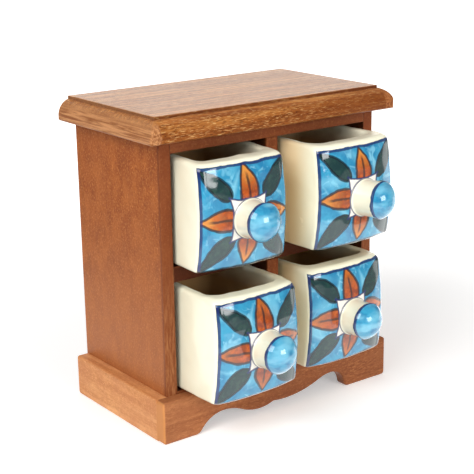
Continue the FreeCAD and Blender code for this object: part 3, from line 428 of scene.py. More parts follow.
def pinMaker():  # a pointed shank and a domed head, once on each point
    maker = Maker("round_headed_pins", pinValues)
    given = maker.given
    grid, turn, place = maker.lathe(24, 26)
    # stretches of the profile: point, shank, underside of the head, dome
    point = maker.section(place, 0.0, 0.25)
    shank = maker.section(place, 0.25, 0.4)
    brim = maker.section(place, 0.4, 0.5)
    angle = (1.0 - maker.section(place, 0.5, 1.0)) * (math.pi / 2)
    radius = given["Shank Radius"] * point + (given["Head Radius"] - given["Shank Radius"]) * brim
    radius = radius * maker.sum("SINE", angle)
    pointed = 0.15  # share of the shank's length
    along = given["Shank Length"] * (pointed * point + (1 - pointed) * shank - 1.0)
    along = along + given["Head Height"] * maker.sum("COSINE", angle)
    x, z = maker.sum("COSINE", turn) * radius, maker.sum("SINE", turn) * radius
    dents = maker.noise(maker.joined(x + given["Seed"], along, z), 1.4, 1)
    along = along - given["Hammering"] * dents * maker.section(place, 0.55, 0.8)
    pin = maker.bent(grid, maker.scaled(maker.joined(x, along, z), mm), 0.005 * mm)
    twist = maker.node("FunctionNodeRandomValue", {"data_type": "FLOAT"}, {
        2: 0.0, 3: math.tau, "Seed": 3})["Value"]
    many = maker.node("GeometryNodeInstanceOnPoints", None, {
        "Points": given["Geometry"], "Instance": pin, "Rotation": maker.joined(0.0, twist, 0.0)})["Instances"]
    maker.close(many)
    return maker


pinPoints = [tuple(value * mm for value in spot) for spot in pinPlaces]
pins = grown("rear_pins", pinMaker(), steel, pinValues, pinPoints)
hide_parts("back_panel_pins")
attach(pins, "carcass")
print("pins made:", len(pinPlaces), "with", len(pins.data.polygons), "faces")


# glazed ceramic
castShape = {  # mm, the mould that all four drawers were cast in; its front is a piece of a ball
    "halfWidth": 27.2, "lean": 1.1, "tall": 54.6, "deep": 72.5, "ball": 126.8, "bulge": 6.0,
    "frontCorner": 4.8, "rearCorner": 4.0, "baseRound": 2.4, "rim": 2.1, "frontRim": 0.9, "cornerRim": 1.0,
    "innerHalf": 20.1, "innerFront": 7.6, "innerRear": 66.5, "innerCorner": 6.0, "floor": 6.0,
    "floorRound": 4.0, "knobUp": 25.0, "seatRoom": 0.1, "seatDepth": 0.25,
    "frontSteps": 40, "cornerSteps": 9, "sideSteps": 24, "rearSteps": 18, "wallSteps": 36, "roundSteps": 8,
    "innerSteps": 8, "ahead": (12, 2), "beside": (17, 24)}  # the rim is rounder ahead
ballMiddle = (0.0, castShape["ball"] - castShape["bulge"], castShape["tall"] / 2)
castValues = {"Unevenness": 0.55, "Rim Wave": 0.5, "Corner": (0.0, 0.0, 0.0), "Yaw": 0.0, "Seed": 0.0}
knobValues = {
    "Foot Radius": 9.6, "Lip Radius": 9.8, "Dome Radius": 9.6, "Dome Rise": 5.8, "Lip Height": 0.2,
    "Waist": 0.35, "Barrel Length": 10.6, "Unevenness": 0.45, "Slip Fillet": 0.7, "Base": (0.0, 0.0, 0.0),
    "Lean": 0.0, "Corner": (0.0, 0.0, 0.0), "Yaw": 0.0, "Seed": 0.0}

glazeValues = {
    "cream": paint(255, 252, 226), "creamThin": paint(253, 244, 214), "white": paint(250, 244, 236),
    "insideShade": (0.42, 0.25, 0.13, 1.0), "wallShade": (0.93, 0.75, 0.56, 1.0), "pit": paint(150, 120, 80),
    "sky": paint(56, 160, 198), "deepSky": paint(32, 126, 172), "paleSky": paint(140, 212, 234),
    "navy": paint(24, 40, 100), "ink": paint(40, 30, 30), "leafGreen": paint(12, 52, 54),
    "leafGreenPale": paint(40, 78, 66), "leafEdge": paint(8, 30, 36), "leafOrange": paint(192, 88, 24),
    "leafOrangePale": paint(232, 154, 66), "leafOrangeDark": paint(140, 54, 18)}

# In a drawer's own mm, x from the middle and z from the underside. corner: where its front stands in the box;
# knob: mm off the middle, degrees of lean; border: left low and high, top left and right, bottom left and
# right, right; square: middle and half sizes; washes, orange and green leaves: root, tip, half width, bend;
# gold, shadedWalls: shares of pale orange and of painted shade on the walls; roll: how much steeper the upper
# left corner was cast
drawerLooks = {
    "upper_left": {
        "corner": (-33.415, -33.8, 89.1), "yaw": -1.129, "knob": (1.0, 1.5), "seed": 1.0,
        "border": ((-26.9, -26.2), (51.5, 52.1), (0.9, 1.7), 27.3), "square": (0.4, 25.4, 9.7, 9.9),
        "gold": 0.85, "shadedWalls": 0.1, "roll": (0.0, 0.0),
        "washes": [((-9.0, 36.2), (-3.4, 49.0), 1.5, 0.9), ((9.6, 8.0), (22.0, 12.6), 1.6, 0.8),
                   ((-24.0, 50.6), (-7.0, 51.6), 1.4, 0.6)],
        "orange": [((-4.0, 25.2), (-27.0, 25.8), 5.3, -0.3), ((0.6, 30.0), (-1.9, 52.6), 5.3, -1.6),
                   ((-0.4, 20.0), (-2.4, 2.2), 5.5, 0.9), ((6.0, 25.6), (25.2, 26.0), 5.2, 0.0)],
        "green": [((-9.0, 35.4), (-25.8, 51.4), 3.9, 0.0), ((9.8, 34.6), (24.0, 52.8), 4.3, -0.8),
                  ((-8.0, 16.6), (-26.0, 1.2), 4.4, -0.9), ((9.6, 14.6), (24.2, 1.6), 4.4, 0.9)]},
    "upper_right": {
        "corner": (34.33, -38.9, 89.1), "yaw": 2.419, "knob": (2.3, 10.0), "seed": 2.0,
        "border": ((-27.0, -26.2), (51.3, 51.9), (0.9, 1.8), 27.3), "square": (2.0, 26.0, 9.4, 9.6),
        "gold": 0.75, "shadedWalls": 0.9, "roll": (0.035, 0.0),
        "washes": [((-7.4, 16.4), (-24.0, 34.0), 1.6, 1.2), ((11.6, 36.0), (6.0, 49.0), 1.5, -0.9),
                   ((-8.0, 15.4), (-24.6, 17.0), 1.3, 1.0)],
        "orange": [((-2.0, 25.6), (-26.0, 26.6), 5.3, -0.3), ((1.6, 30.0), (-0.4, 51.0), 5.2, -1.6),
                   ((0.8, 20.0), (-0.6, 2.6), 5.6, 0.4), ((8.0, 25.6), (25.2, 26.0), 5.2, 0.0)],
        "green": [((-6.6, 35.4), (-25.2, 50.8), 3.8, -0.7), ((11.8, 34.6), (23.8, 52.4), 4.2, -0.8),
                  ((-7.4, 16.8), (-26.0, 1.2), 4.6, -1.0), ((11.0, 14.8), (24.0, 1.6), 4.6, 0.9)]},
    "lower_left": {
        "corner": (-31.865, -42.3, 23.6), "yaw": 1.344, "knob": (2.2, -1.0), "seed": 3.0,
        "border": ((-26.8, -25.2), (51.6, 52.3), (0.9, 1.7), 27.3), "square": (1.0, 25.6, 9.3, 9.4),
        "gold": 0.25, "shadedWalls": 0.1, "roll": (0.03, 0.06),
        "washes": [((-8.4, 35.4), (-4.6, 49.6), 1.5, 0.8), ((-9.0, 15.8), (-25.0, 19.0), 1.5, 1.0),
                   ((10.0, 36.0), (22.0, 36.0), 1.6, 1.0)],
        "orange": [((-3.0, 25.2), (-26.8, 27.2), 5.2, 0.3), ((0.8, 30.0), (-2.0, 53.0), 5.4, -1.6),
                   ((0.4, 19.0), (0.6, 2.8), 5.6, 0.2), ((7.0, 26.0), (25.0, 27.4), 5.2, 0.2)],
        "green": [((-7.4, 35.4), (-25.6, 51.0), 4.0, -0.7), ((10.0, 34.4), (24.2, 52.8), 4.4, -0.8),
                  ((-8.2, 16.8), (-26.6, 1.0), 4.6, -1.0), ((9.4, 12.0), (24.4, 1.8), 4.4, 0.9)]},
    "lower_right": {
        "corner": (33.667, -33.8, 23.6), "yaw": 1.747, "knob": (1.2, 0.5), "seed": 4.0,
        "border": ((-27.2, -26.6), (51.4, 52.3), (0.9, 1.8), 27.3), "square": (0.0, 26.0, 9.5, 9.6),
        "gold": 0.3, "shadedWalls": 0.9, "roll": (0.035, 0.055),
        "washes": [((-9.0, 36.0), (-6.0, 49.0), 1.4, 0.8), ((9.6, 36.0), (6.6, 50.0), 1.5, -0.7),
                   ((-9.6, 15.0), (-25.0, 20.0), 1.5, 0.9)],
        "orange": [((-4.0, 25.4), (-27.4, 26.6), 5.6, -0.3), ((0.0, 30.0), (-3.4, 52.4), 5.5, -1.5),
                   ((-0.6, 19.0), (-2.6, 2.4), 5.5, 1.1), ((6.0, 26.4), (25.0, 27.0), 5.2, 0.2)],
        "green": [((-8.6, 35.6), (-27.0, 50.8), 4.1, -0.9), ((9.4, 34.6), (23.8, 52.6), 4.4, -0.8),
                  ((-8.8, 17.0), (-27.0, 1.2), 4.8, -1.0), ((9.4, 12.6), (24.4, 1.8), 4.4, 0.9)]},
}


def leafMasks(sheet, x, z, root, tip, halfWidth, bend, belly=0.37):
    # along runs 0 to 1 from root to tip, across is in mm; the belly of the outline lies nearer the root
    run = (tip[0] - root[0], tip[1] - root[1])
    length = math.hypot(*run)
    step = (run[0] / length, run[1] / length)
    along = ((x - root[0]) * step[0] + (z - root[1]) * step[1]) / length
    inside = sheet.least(sheet.most(along, 0.0005), 0.9995)
    across = (z - root[1]) * step[0] - (x - root[0]) * step[1] - inside * (1 - inside) * (4 * bend)
    blunt = 0.62  # the lower, the rounder its root
    rootPower, tipPower = blunt, blunt * (1 - belly) / belly
    peak = belly ** rootPower * (1 - belly) ** tipPower
    edge = (inside ** rootPower) * ((1 - inside) ** tipPower) * (halfWidth / peak) - abs(across)
    edge = edge - sheet.most(sheet.most(0.0 - along, along - 1.0), 0.0) * (2.0 * length)
    return along, across, edge


def drawerMaterial(name, look):
    sheet = Sheet("glaze_drawer_" + name)
    hue = glazeValues
    local = sheet.ownFrame(look["corner"], math.radians(look["yaw"]))
    straightX, depth, straightZ = sheet.parts(local)
    seeded = sheet.vector("ADD", local, (look["seed"] * 37, 0, 0))
    wobble = sheet.node("ShaderNodeTexNoise", None, {"Vector": seeded, "Scale": 0.16, "Detail": 2.0})["Color"]
    wobbleX, wobbleZ, wobbleWide = sheet.parts(wobble)
    shake = 1.5  # mm by which the painter's hand wandered
    x = straightX + (wobbleX - 0.5) * shake
    z = straightZ + (wobbleZ - 0.5) * shake
    brush = 0.8 + 0.8 * wobbleWide  # how wide the brush pressed
    squareX, squareZ, halfX, halfZ = look["square"]

    # watery sky colour, paler in strokes that leave the middle
    away = sheet.joined(x - squareX, 0.0, z - squareZ)
    reach, turn = sheet.vector("LENGTH", away), sheet.vector("NORMALIZE", away)
    shift = sheet.joined(reach * 0.05, look["seed"], 0.0)
    strokes = sheet.noise(sheet.vector("MULTIPLY_ADD", turn, (1.9, 1.9, 1.9), shift), 1.0, 1, 0.5)
    pools = sheet.noise(seeded, 0.12, 3, 0.55, 0.6)
    thinned = sheet.noise(seeded, 0.2, 2, 0.5, 0.8)
    colour = sheet.tint(sheet.fade(pools, 0.3, 0.7), hue["sky"], hue["deepSky"])
    colour = sheet.tint(sheet.fade(strokes, 0.5, 0.74) * 0.6, colour, hue["paleSky"])
    colour = sheet.tint(sheet.fade(thinned, 0.55, 0.72) * 0.6, colour, hue["paleSky"])
    for root, tip, halfWidth, bend in look["washes"]:
        washEdge = leafMasks(sheet, x, z, root, tip, halfWidth, bend, 0.3)[2]
        colour = sheet.tint(sheet.fade(washEdge, -1.2, 1.6) * 0.7, colour, hue["paleSky"])

    # leaves, the orange ones with a rib
    shade = sheet.noise(seeded, 0.35, 3, 0.6)
    for kind, outline in (("orange", "ink"), ("green", "leafEdge")):
        for root, tip, halfWidth, bend in look[kind]:
            along, across, edge = leafMasks(sheet, x, z, root, tip, halfWidth, bend)
            if kind == "orange":
                fill = sheet.tint(sheet.fade(shade, 0.35, 0.65), hue["leafOrange"], hue["leafOrangeDark"])
                gilt = sheet.fade(along + (shade - 0.5) * 0.8, 0.35, 0.95) * look["gold"]
                fill = sheet.tint(gilt, fill, hue["leafOrangePale"])
                rib = sheet.fade(abs(across + 0.3 * (wobbleX - 0.5)), 0.95, 0.35)
                fill = sheet.tint(rib * sheet.fade(along, 0.84, 0.66) * 0.8, fill, hue["ink"])
            else:
                fill = sheet.tint(sheet.fade(shade, 0.42, 0.72) * 0.6, hue["leafGreen"], hue["leafGreenPale"])
            colour = sheet.tint(sheet.fade(edge, -0.15, 0.2), colour, fill)
            colour = sheet.tint(sheet.fade(abs(edge) / brush, 0.8, 0.42) * 0.88, colour, hue[outline])

    # white square behind the knob, its sides drawn a little hollow
    fromX, fromZ = abs(x - squareX), abs(z - squareZ)
    sideGap = (halfX - 0.5) + (fromZ * fromZ) * 0.011 - fromX
    topGap = (halfZ - 0.5) + (fromX * fromX) * 0.013 - fromZ
    colour = sheet.tint(sheet.fade(sheet.least(sideGap, topGap), -0.15, 0.15), colour, hue["white"])
    sideLine = sheet.fade(abs(sideGap) / brush, 0.55, 0.25) * sheet.fade(fromZ, halfZ + 2.2, halfZ + 1.4)
    topLine = sheet.fade(abs(topGap) / brush, 0.55, 0.25) * sheet.fade(fromX, halfX + 2.2, halfX + 1.4)
    colour = sheet.tint(sheet.most(sideLine, topLine) * 0.9, colour, hue["navy"])

    # border: navy at the left and the top, ink at the bottom, none at the right
    (leftLow, leftHigh), (topLeft, topRight), (bottomLeft, bottomRight), right = look["border"]
    borderTall, borderWide, borderFrom = 52, 50, -26  # mm between the ends that the looks give
    upward, sideways = straightZ / borderTall, (straightX - borderFrom) / borderWide
    up = straightZ - ballMiddle[2]
    pillow = ballMiddle[1] - (castShape["ball"] ** 2 - (straightX * straightX + up * up)) ** 0.5
    behind = sheet.most(depth - pillow, 0.0) * 0.75  # the rounded edges count as further out
    leftGap = straightX - behind + 0.5 * (wobbleX - 0.5) - (leftLow + upward * (leftHigh - leftLow))
    topGap = (topLeft + sideways * (topRight - topLeft)) - z
    bottomGap = z - (bottomLeft + sideways * (bottomRight - bottomLeft))
    rightGap = (right + 0.8 * (wobbleZ - 0.5)) - straightX - behind
    border = sheet.most(sheet.fade(leftGap / brush, 1.15, 0.75), sheet.fade(topGap / brush, 0.85, 0.45))
    colour = sheet.tint(border * 0.88, colour, hue["navy"])
    colour = sheet.tint(sheet.fade(bottomGap / brush, 0.75, 0.4) * 0.75, colour, hue["ink"])
    (leftTipX, leftTipZ), (topTipX, topTipZ) = look["orange"][0][1], look["orange"][1][1]
    stems = sheet.most(  # from the left and the top leaf's tip to the border
        sheet.fade(abs(x - topTipX), 0.75, 0.4) * sheet.fade(z, topTipZ - 1.5, 53.0),
        sheet.fade(abs(z - leftTipZ), 0.75, 0.4) * sheet.fade(x, leftTipX + 1.5, -27.0))
    colour = sheet.tint(stems * 0.85, colour, hue["navy"])
    painted = sheet.fade(sheet.least(leftGap, sheet.least(topGap, bottomGap)), -0.75, -0.45)
    painted = painted * sheet.fade(rightGap, -0.6, 0.5) * sheet.fade(depth, 4.2, 3.4)

    # cream body, browner where the glaze ran thin; painted shade inside the cavity and on the outer walls
    # towards the rear
    thin = sheet.noise(seeded, 0.07, 3, 0.6)
    cream = sheet.tint(sheet.fade(thin, 0.4, 0.75) * 0.4, hue["cream"], hue["creamThin"])
    pits = sheet.node("ShaderNodeTexVoronoi", {"feature": "F1"}, {"Vector": seeded, "Scale": 0.09})
    pit = sheet.fade(pits["Distance"], 0.035, 0.022)
    cream = sheet.tint(pit * 0.6, cream, hue["pit"])
    half, front, rear = castShape["innerHalf"], castShape["innerFront"], castShape["innerRear"]
    inside = sheet.fade(abs(straightX), half + 1.5, half + 0.9) * sheet.fade(depth, front - 1.2, front - 0.2)
    inside = inside * sheet.fade(depth, rear + 2.5, rear + 1.5)
    # painted shade in the cavity, darker from below the rim downwards
    cream = sheet.tint(inside * sheet.fade(straightZ, 54.5, 42.0), cream, hue["insideShade"], "MULTIPLY")
    # painted shade on the outer side walls, deeper towards the rear, by each drawer's share
    rearward = sheet.fade(abs(straightX), 22.0, 25.0) * sheet.fade(depth, 2.0, 20.0)
    cream = sheet.tint(rearward * look["shadedWalls"], cream, hue["wallShade"], "MULTIPLY")
    colour = sheet.tint(painted, cream, colour)

    waves = sheet.noise(seeded, 0.1, 1, 0.4)
    orangePeel = sheet.noise(seeded, 0.9, 2, 0.5)
    squared = sheet.least(straightX * straightX, 22.0 ** 2)
    # mm by which the pillow is flatter in the middle and falls faster to the sides
    fuller = squared * 0.00394 - squared ** 2 * 0.0000076
    rollX, rollZ = look["roll"]
    fuller = fuller - sheet.most(straightZ - 38.0, 0.0) * rollZ - sheet.most(-9.0 - straightX, 0.0) * rollX
    height = waves * 0.3 + orangePeel * 0.006 - pit * 0.08 + fuller * painted
    roughness = 0.05 + 0.06 * thin + 0.18 * (1.0 - painted)  # the thinner glaze of the walls is duller
    return sheet.finish({"Base Color": colour, "Roughness": roughness, "Specular IOR Level": 0.65,
                         "Normal": sheet.bumped(height, 1.0, mm)})


def knobSeat(offset, lean):  # how far the knob's seat lies behind the pillow's apex
    foot, below = knobValues["Foot Radius"], castShape["tall"] / 2 - castShape["knobUp"]
    fall = ((abs(offset) + foot + castShape["seatRoom"]) ** 2 + below ** 2) / (2 * castShape["ball"])
    return fall + foot * abs(math.sin(math.radians(lean))) + castShape["seatDepth"]


def knobMaterial(name, look):
    sheet = Sheet("glaze_knob_" + name)
    hue = glazeValues
    offset, lean = look["knob"]
    seat = knobSeat(offset, lean)
    yaw, corner = math.radians(look["yaw"]), Vector(look["corner"])
    base = Matrix.Rotation(yaw, 3, "Z") @ Vector((offset, seat - castShape["bulge"], castShape["knobUp"]))
    local = sheet.ownFrame(corner + base, yaw + math.radians(lean))
    x, back = sheet.parts(local)[:2]
    barrel = knobValues["Barrel Length"] + seat
    seeded = sheet.vector("ADD", local, (look["seed"] * 41, 5, 0))
    wobble = sheet.noise(seeded, 0.22, 2, 0.5)
    along = 0.0 - back + (wobble - 0.5) * 1.2
    pools = sheet.noise(seeded, 0.16, 3, 0.6, 0.5)
    streaks = sheet.noise(sheet.vector("MULTIPLY", seeded, (0.6, 1.0, 1.5)), 0.13, 2, 0.45)
    dome = sheet.tint(sheet.fade(pools, 0.35, 0.7), hue["sky"], hue["deepSky"])
    dome = sheet.tint(sheet.fade(streaks, 0.42, 0.68) * 0.65, dome, hue["paleSky"])
    thin = sheet.noise(seeded, 0.1, 2, 0.5)
    cream = sheet.tint(sheet.fade(thin, 0.4, 0.75) * 0.35, hue["cream"], hue["creamThin"])
    colour = sheet.tint(sheet.fade(along, barrel - 0.9, barrel - 0.5), cream, dome)
    ringWide = 0.35 + 0.75 * wobble + 0.03 * (0.0 - x)
    ring = sheet.fade(abs(along - (barrel - 0.3)) / ringWide, 1.1, 0.8)
    colour = sheet.tint(ring * 0.9, colour, hue["navy"])
    reach = sheet.vector("DISTANCE", sheet.ownFrame(corner, yaw), ballMiddle)
    footLine = sheet.fade(reach - castShape["ball"], 0.5, 0.25)  # painted where the knob meets the pillow
    colour = sheet.tint(footLine * 0.8, colour, hue["navy"])
    height = sheet.noise(seeded, 0.12, 2, 0.5) + ring * 0.08
    return sheet.finish({"Base Color": colour, "Roughness": 0.06 + 0.06 * thin, "Specular IOR Level": 0.65,
                         "Normal": sheet.bumped(height, 0.4, 0.5 * mm)})


def knobMaker():  # thrown barrel with a domed end, its foot drawn out where slip sealed it to the pillow
    maker = Maker("thrown_knob", knobValues)
    given = maker.given
    grid, turn, place = maker.lathe(96, 92)
    # stretches of the profile: foot, barrel, lip, dome
    base = maker.section(place, 0.0, 0.05)
    barrel = maker.section(place, 0.05, 0.58)
    lip = maker.section(place, 0.58, 0.63)
    dome = maker.section(place, 0.63, 1.0)
    domeRadius, rise = given["Dome Radius"], given["Dome Rise"]
    ball = (domeRadius * domeRadius + rise * rise) / (2.0 * rise)
    opening = maker.sum("ARCSINE", domeRadius / ball)
    angle = opening * (1.0 - dome)
    radius = given["Foot Radius"] * base + (given["Lip Radius"] - given["Foot Radius"]) * barrel
    radius = radius - given["Waist"] * 4.0 * barrel * (1.0 - barrel)
    radius = radius - (given["Lip Radius"] - domeRadius) * lip
    radius = radius * maker.sum("SINE", angle) / maker.sum("SINE", opening)
    along = given["Barrel Length"] * barrel + given["Lip Height"] * lip
    along = along + ball * (maker.sum("COSINE", angle) - maker.sum("COSINE", opening))
    cosine, sine = maker.sum("COSINE", turn), maker.sum("SINE", turn)
    hand = maker.noise(maker.joined(cosine * 9.0 + given["Seed"], along, sine * 9.0), 0.09, 2)
    radius = radius + (hand - 0.5) * given["Unevenness"] * base * (1.0 - dome)

    def stuck(wide):  # a point of the ring in the drawer's own frame
        ring = maker.joined(cosine * wide, 0.0 - along, sine * wide)
        return maker.vector("ADD", maker.spun(ring, given["Lean"]), given["Base"])

    reach = maker.vector("DISTANCE", stuck(radius), ballMiddle)
    fillet = maker.fade(reach - castShape["ball"], 1.4, -0.2)
    sealed = stuck(radius + fillet * fillet * given["Slip Fillet"] * base)
    maker.close(maker.bent(grid, maker.placed(sealed), 0.01 * mm))
    return maker


def castLoop():  # stations round the drawer: which stretch, and how far along it
    stretches = (("front", "frontSteps"), ("frontRight", "cornerSteps"), ("right", "sideSteps"),
                 ("rearRight", "cornerSteps"), ("rear", "rearSteps"), ("rearLeft", "cornerSteps"),
                 ("left", "sideSteps"), ("frontLeft", "cornerSteps"))
    return [(stretch, step / castShape[steps]) for stretch, steps in stretches
            for step in range(castShape[steps])]


def ringPoint(stretch, share, half, frontAt, frontEnd, startTurn, squash, corner, rearCorner, rear):
    # one point of a rounded outline: frontAt gives y of the front at x, corner is (middle x and y, radius)
    middleX, middleY, radius = corner
    turn = math.pi / 2
    if stretch == "front":
        x = frontEnd * (2 * share - 1)
        return x, frontAt(x)
    if stretch in ("frontRight", "frontLeft"):
        turn = startTurn * (1 - share if stretch == "frontRight" else share)
        side = 1 if stretch == "frontRight" else -1
        return side * (middleX + radius * math.cos(turn)), middleY - squash * radius * math.sin(turn)
    straightEnd = rear - rearCorner
    if stretch in ("right", "left"):
        run = share if stretch == "right" else 1 - share
        return (half if stretch == "right" else -half), middleY + (straightEnd - middleY) * run
    if stretch in ("rearRight", "rearLeft"):
        turn = turn * share if stretch == "rearRight" else turn * (1 - share)
        side = 1 if stretch == "rearRight" else -1
        x = side * (half - rearCorner + rearCorner * math.cos(turn))
        return x, straightEnd + rearCorner * math.sin(turn)
    return (half - rearCorner) * (1 - 2 * share), rear


def outerPoint(stretch, share, z, inset):
    shape = castShape
    half = shape["halfWidth"] - shape["lean"] * z / shape["tall"] - inset
    ball = shape["ball"] - inset
    up = (z - ballMiddle[2]) ** 2
    radius = max(shape["frontCorner"] - inset, 0.5)
    middleX = half - radius
    middleY = ballMiddle[1] - math.sqrt((ball - radius) ** 2 - middleX ** 2 - up)
    frontEnd = middleX * ball / (ball - radius)

    def frontAt(x):
        return ballMiddle[1] - math.sqrt(ball ** 2 - x ** 2 - up)

    startTurn = math.acos((frontEnd - middleX) / radius)
    squash = (middleY - frontAt(frontEnd)) / (radius * math.sin(startTurn))
    x, y = ringPoint(stretch, share, half, frontAt, frontEnd, startTurn, squash, (middleX, middleY, radius),
                     max(shape["rearCorner"] - inset, 0.5), shape["deep"] - inset)
    return x, y, z


def innerPoint(stretch, share, z, grow):
    shape = castShape
    half, front = shape["innerHalf"] + grow, shape["innerFront"] - grow
    radius = shape["innerCorner"] + grow
    x, y = ringPoint(stretch, share, half, lambda x: front, half - radius, math.pi / 2, 1.0,
                     (half - radius, front + radius, radius), radius, shape["innerRear"] + grow)
    return x, y, z


def eased(value, start, end):  # the soft step of a sheet's fade, for numbers
    share = min(max((value - start) / (end - start), 0), 1)
    return share * share * (3 - 2 * share)


def castDrawer():  # a closed skin: base, outer wall, rim, inner wall, floor
    shape = castShape
    tall, rim, base, steps = shape["tall"], shape["rim"], shape["baseRound"], shape["roundSteps"]
    low, bend = shape["floor"] + shape["floorRound"], shape["floorRound"]
    wallSteps, innerSteps = shape["wallSteps"], shape["innerSteps"]
    quarter = [math.pi / 2 * step / steps for step in range(steps + 1)]
    columns = []
    for stretch, share in castLoop():
        x, y, z = outerPoint(stretch, share, tall, 0.0)
        ahead, beside = eased(y, *shape["ahead"]), eased(abs(x), *shape["beside"])
        edge = rim + (shape["frontRim"] + shape["cornerRim"] * beside) * ahead
        wallTop = tall - edge
        column = [outerPoint(stretch, share, base * (1 - math.cos(turn)), base * (1 - math.sin(turn)))
                  for turn in quarter]
        column += [outerPoint(stretch, share, base + (wallTop - base) * step / wallSteps, 0.0)
                   for step in range(1, wallSteps)]
        column += [outerPoint(stretch, share, tall - edge * (1 - math.sin(turn)), edge * (1 - math.cos(turn)))
                   for turn in quarter]
        brink, mouth = column[-1], innerPoint(stretch, share, tall, rim)
        column += [tuple((one + other) / 2 for one, other in zip(brink, mouth))]
        column += [innerPoint(stretch, share, tall - rim * (1 - math.cos(turn)), rim * (1 - math.sin(turn)))
                   for turn in quarter]
        column += [innerPoint(stretch, share, tall - rim + (low - tall + rim) * step / innerSteps, 0.0)
                   for step in range(1, innerSteps)]
        column += [innerPoint(stretch, share, low - bend * math.sin(turn), bend * (math.cos(turn) - 1))
                   for turn in quarter]
        columns.append(column)
    around, high = len(columns), len(columns[0])
    points = [point for column in columns for point in column]
    faces = [(one * high + step, other * high + step, other * high + step + 1, one * high + step + 1)
             for one in range(around) for other in ((one + 1) % around,) for step in range(high - 1)]
    faces.append([one * high for one in reversed(range(around))])
    faces.append([one * high + high - 1 for one in range(around)])
    return points, faces


def castMaker():  # what the hand and the kiln did to the cast: walls a little hollow, the rim a little wavy
    maker = Maker("hand_cast", castValues)
    given = maker.given
    place = maker.node("GeometryNodeInputPosition")["Position"]
    normal = maker.node("GeometryNodeInputNormal")["Normal"]
    seeded = maker.vector("ADD", place, maker.joined(given["Seed"], 0.0, 0.0))
    hollow = maker.fade(maker.noise(seeded, 0.045, 2, 0.5), 0.25, 0.75) * given["Unevenness"]
    x, y, z = maker.parts(maker.vector("ADD", place, maker.scaled(normal, 0.0 - hollow)))
    wave = maker.fade(maker.noise(maker.joined(x + given["Seed"], y, 7.0), 0.05, 1, 0.5), 0.3, 0.75)
    z = z - wave * given["Rim Wave"] * maker.fade(z, 34.0, 54.0)  # from 34 mm up, in full at the rim
    maker.close(maker.bent(given["Geometry"], maker.placed(maker.joined(x, y, z)), 0.001 * mm))
    return maker


thrownKnob, handCast = knobMaker(), castMaker()
castPoints, castFaces = castDrawer()
for name, drawerLook in drawerLooks.items():
    stance = {"Corner": drawerLook["corner"], "Yaw": math.radians(drawerLook["yaw"])}
    castGiven = dict(castValues, **stance, Seed=drawerLook["seed"] * 53.0)
    drawer = grown("cast_drawer_" + name, handCast, drawerMaterial(name, drawerLook), castGiven,
                   castPoints, castFaces)
    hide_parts("drawer_" + name)
    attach(drawer, name + "_drawer")
    offset, lean = drawerLook["knob"]
    seat = knobSeat(offset, lean)
    knobGiven = dict(knobValues, **stance, **{
        "Base": (offset, seat - castShape["bulge"], castShape["knobUp"]), "Lean": math.radians(lean),
        "Barrel Length": knobValues["Barrel Length"] + seat, "Seed": drawerLook["seed"] * 31.0})
    knob = grown("thrown_knob_" + name, thrownKnob, knobMaterial(name, drawerLook), knobGiven)
    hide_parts("knob_" + name)
    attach(knob, name + "_drawer")
    print("drawer and knob", name, len(drawer.data.polygons), len(knob.data.polygons), "faces")
print("ceramic painted:", len(drawerLooks), "drawers")


# floor, lamps and world
studioValues = {
    "floorSize": 8.0, "floorColour": (0.9, 0.9, 0.9, 1.0), "worldStrength": 0.3, "behindStrength": 1.0,
    "seenGlow": (0.12, 0.6, 0.36, 0.8),  # of the floor to the camera: from and to in m, strengths there
    "mirroredGlow": (0.29, 0.275, 0.1, 1.5), "reflectedPatchGlow": 1.8,  # painted reflections in the glaze: the floor near the box and a patch at the right glow only for glossy rays
    "key": {"place": (-1.15, -0.45, 1.0), "size": (0.9, 0.9), "watts": 16.0},
    "window": {"place": (0.25, -2.91, 0.83), "size": (1.38, 1.18), "watts": 45.0},
    "rim": {"place": (0.72, 0.96, 0.48), "size": (1.4, 0.4), "watts": 4.0, "colour": (1.0, 0.96, 0.89)}}


def floorMaterial():
    sheet = Sheet("studio_floor")
    x, y = sheet.parts(sheet.place)[:2]
    reach = sheet.vector("LENGTH", sheet.joined(x, y, 0.0))
    paths = sheet.node("ShaderNodeLightPath")
    seen = sheet.most(paths["Is Camera Ray"], paths["Is Transmission Ray"])
    seen = seen * sheet.fade(reach, *studioValues["seenGlow"])
    # painted reflections: these parts of the floor glow only when seen in the glaze, though they are no lamp
    reflectedPatch = sheet.fade(y + x * 0.36, -0.05, -0.02) * sheet.fade(x, 0.1, 0.14) * studioValues["reflectedPatchGlow"]
    paintedReflection = sheet.most(sheet.fade(reach, *studioValues["mirroredGlow"]), reflectedPatch)
    glow = seen + paths["Is Glossy Ray"] * paintedReflection
    return sheet.finish({
        "Base Color": studioValues["floorColour"], "Roughness": 0.9, "Specular IOR Level": 0.0,
        "Emission Color": sheet.joined(glow, glow, glow), "Emission Strength": 1.0})


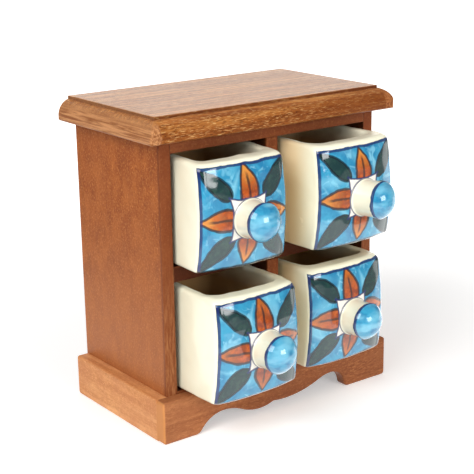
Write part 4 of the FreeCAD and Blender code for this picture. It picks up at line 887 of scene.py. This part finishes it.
half = studioValues["floorSize"] / 2
floorMesh = bpy.data.meshes.new("studio_floor")
corners = [(-half, -half, 0), (half, -half, 0), (half, half, 0), (-half, half, 0)]
floorMesh.from_pydata(corners, [], [(0, 1, 2, 3)])
floorMesh.materials.append(floorMaterial())
floorObject = bpy.data.objects.new("studio_floor", floorMesh)
scene.collection.objects.link(floorObject)

topShare, topSpared = (bpy.data.collections.new(name) for name in ("top_share", "top_spared"))
for share in (topShare, topSpared):
    share.objects.link(nodes["top_board"])
topSpared.collection_objects[0].light_linking.link_state = "EXCLUDE"

middle = (cadLow + cadHigh) / 2
for name, kind in (("key", "key"), ("window", "window"), ("window_on_top", "window"), ("rim", "rim")):
    values = studioValues[kind]
    lamp = bpy.data.lights.new(name, "AREA")
    lamp.shape = "RECTANGLE"
    lamp.size, lamp.size_y = values["size"]
    lamp.energy = values["watts"]
    lamp.color = values.get("colour", (1.0, 1.0, 1.0))
    holder = bpy.data.objects.new(name, lamp)
    holder.location = values["place"]
    holder.rotation_mode = "QUATERNION"
    holder.rotation_quaternion = (middle - Vector(values["place"])).to_track_quat("-Z", "Y")
    scene.collection.objects.link(holder)
    if name == "window":
        holder.light_linking.receiver_collection = topSpared
    if name == "window_on_top":  # the same light for the top, without a glare seen from behind
        holder.light_linking.receiver_collection = topShare
        holder.visible_glossy = False

world = bpy.data.worlds.new("studio")
scene.world = world
world.use_nodes = True
sky = world.node_tree
around = sky.nodes["Background"]  # what lights the object
behind = sky.nodes.new("ShaderNodeBackground")  # what the camera sees past the floor's edge
for shader, strength in ((around, studioValues["worldStrength"]), (behind, studioValues["behindStrength"])):
    shader.inputs["Color"].default_value = (1, 1, 1, 1)
    shader.inputs["Strength"].default_value = strength
chosen = sky.nodes.new("ShaderNodeMixShader")
sky.links.new(sky.nodes.new("ShaderNodeLightPath").outputs["Is Camera Ray"], chosen.inputs[0])
sky.links.new(around.outputs[0], chosen.inputs[1])
sky.links.new(behind.outputs[0], chosen.inputs[2])
sky.links.new(chosen.outputs[0], sky.nodes["World Output"].inputs["Surface"])
print("studio lit")

bpy.context.view_layer.update()
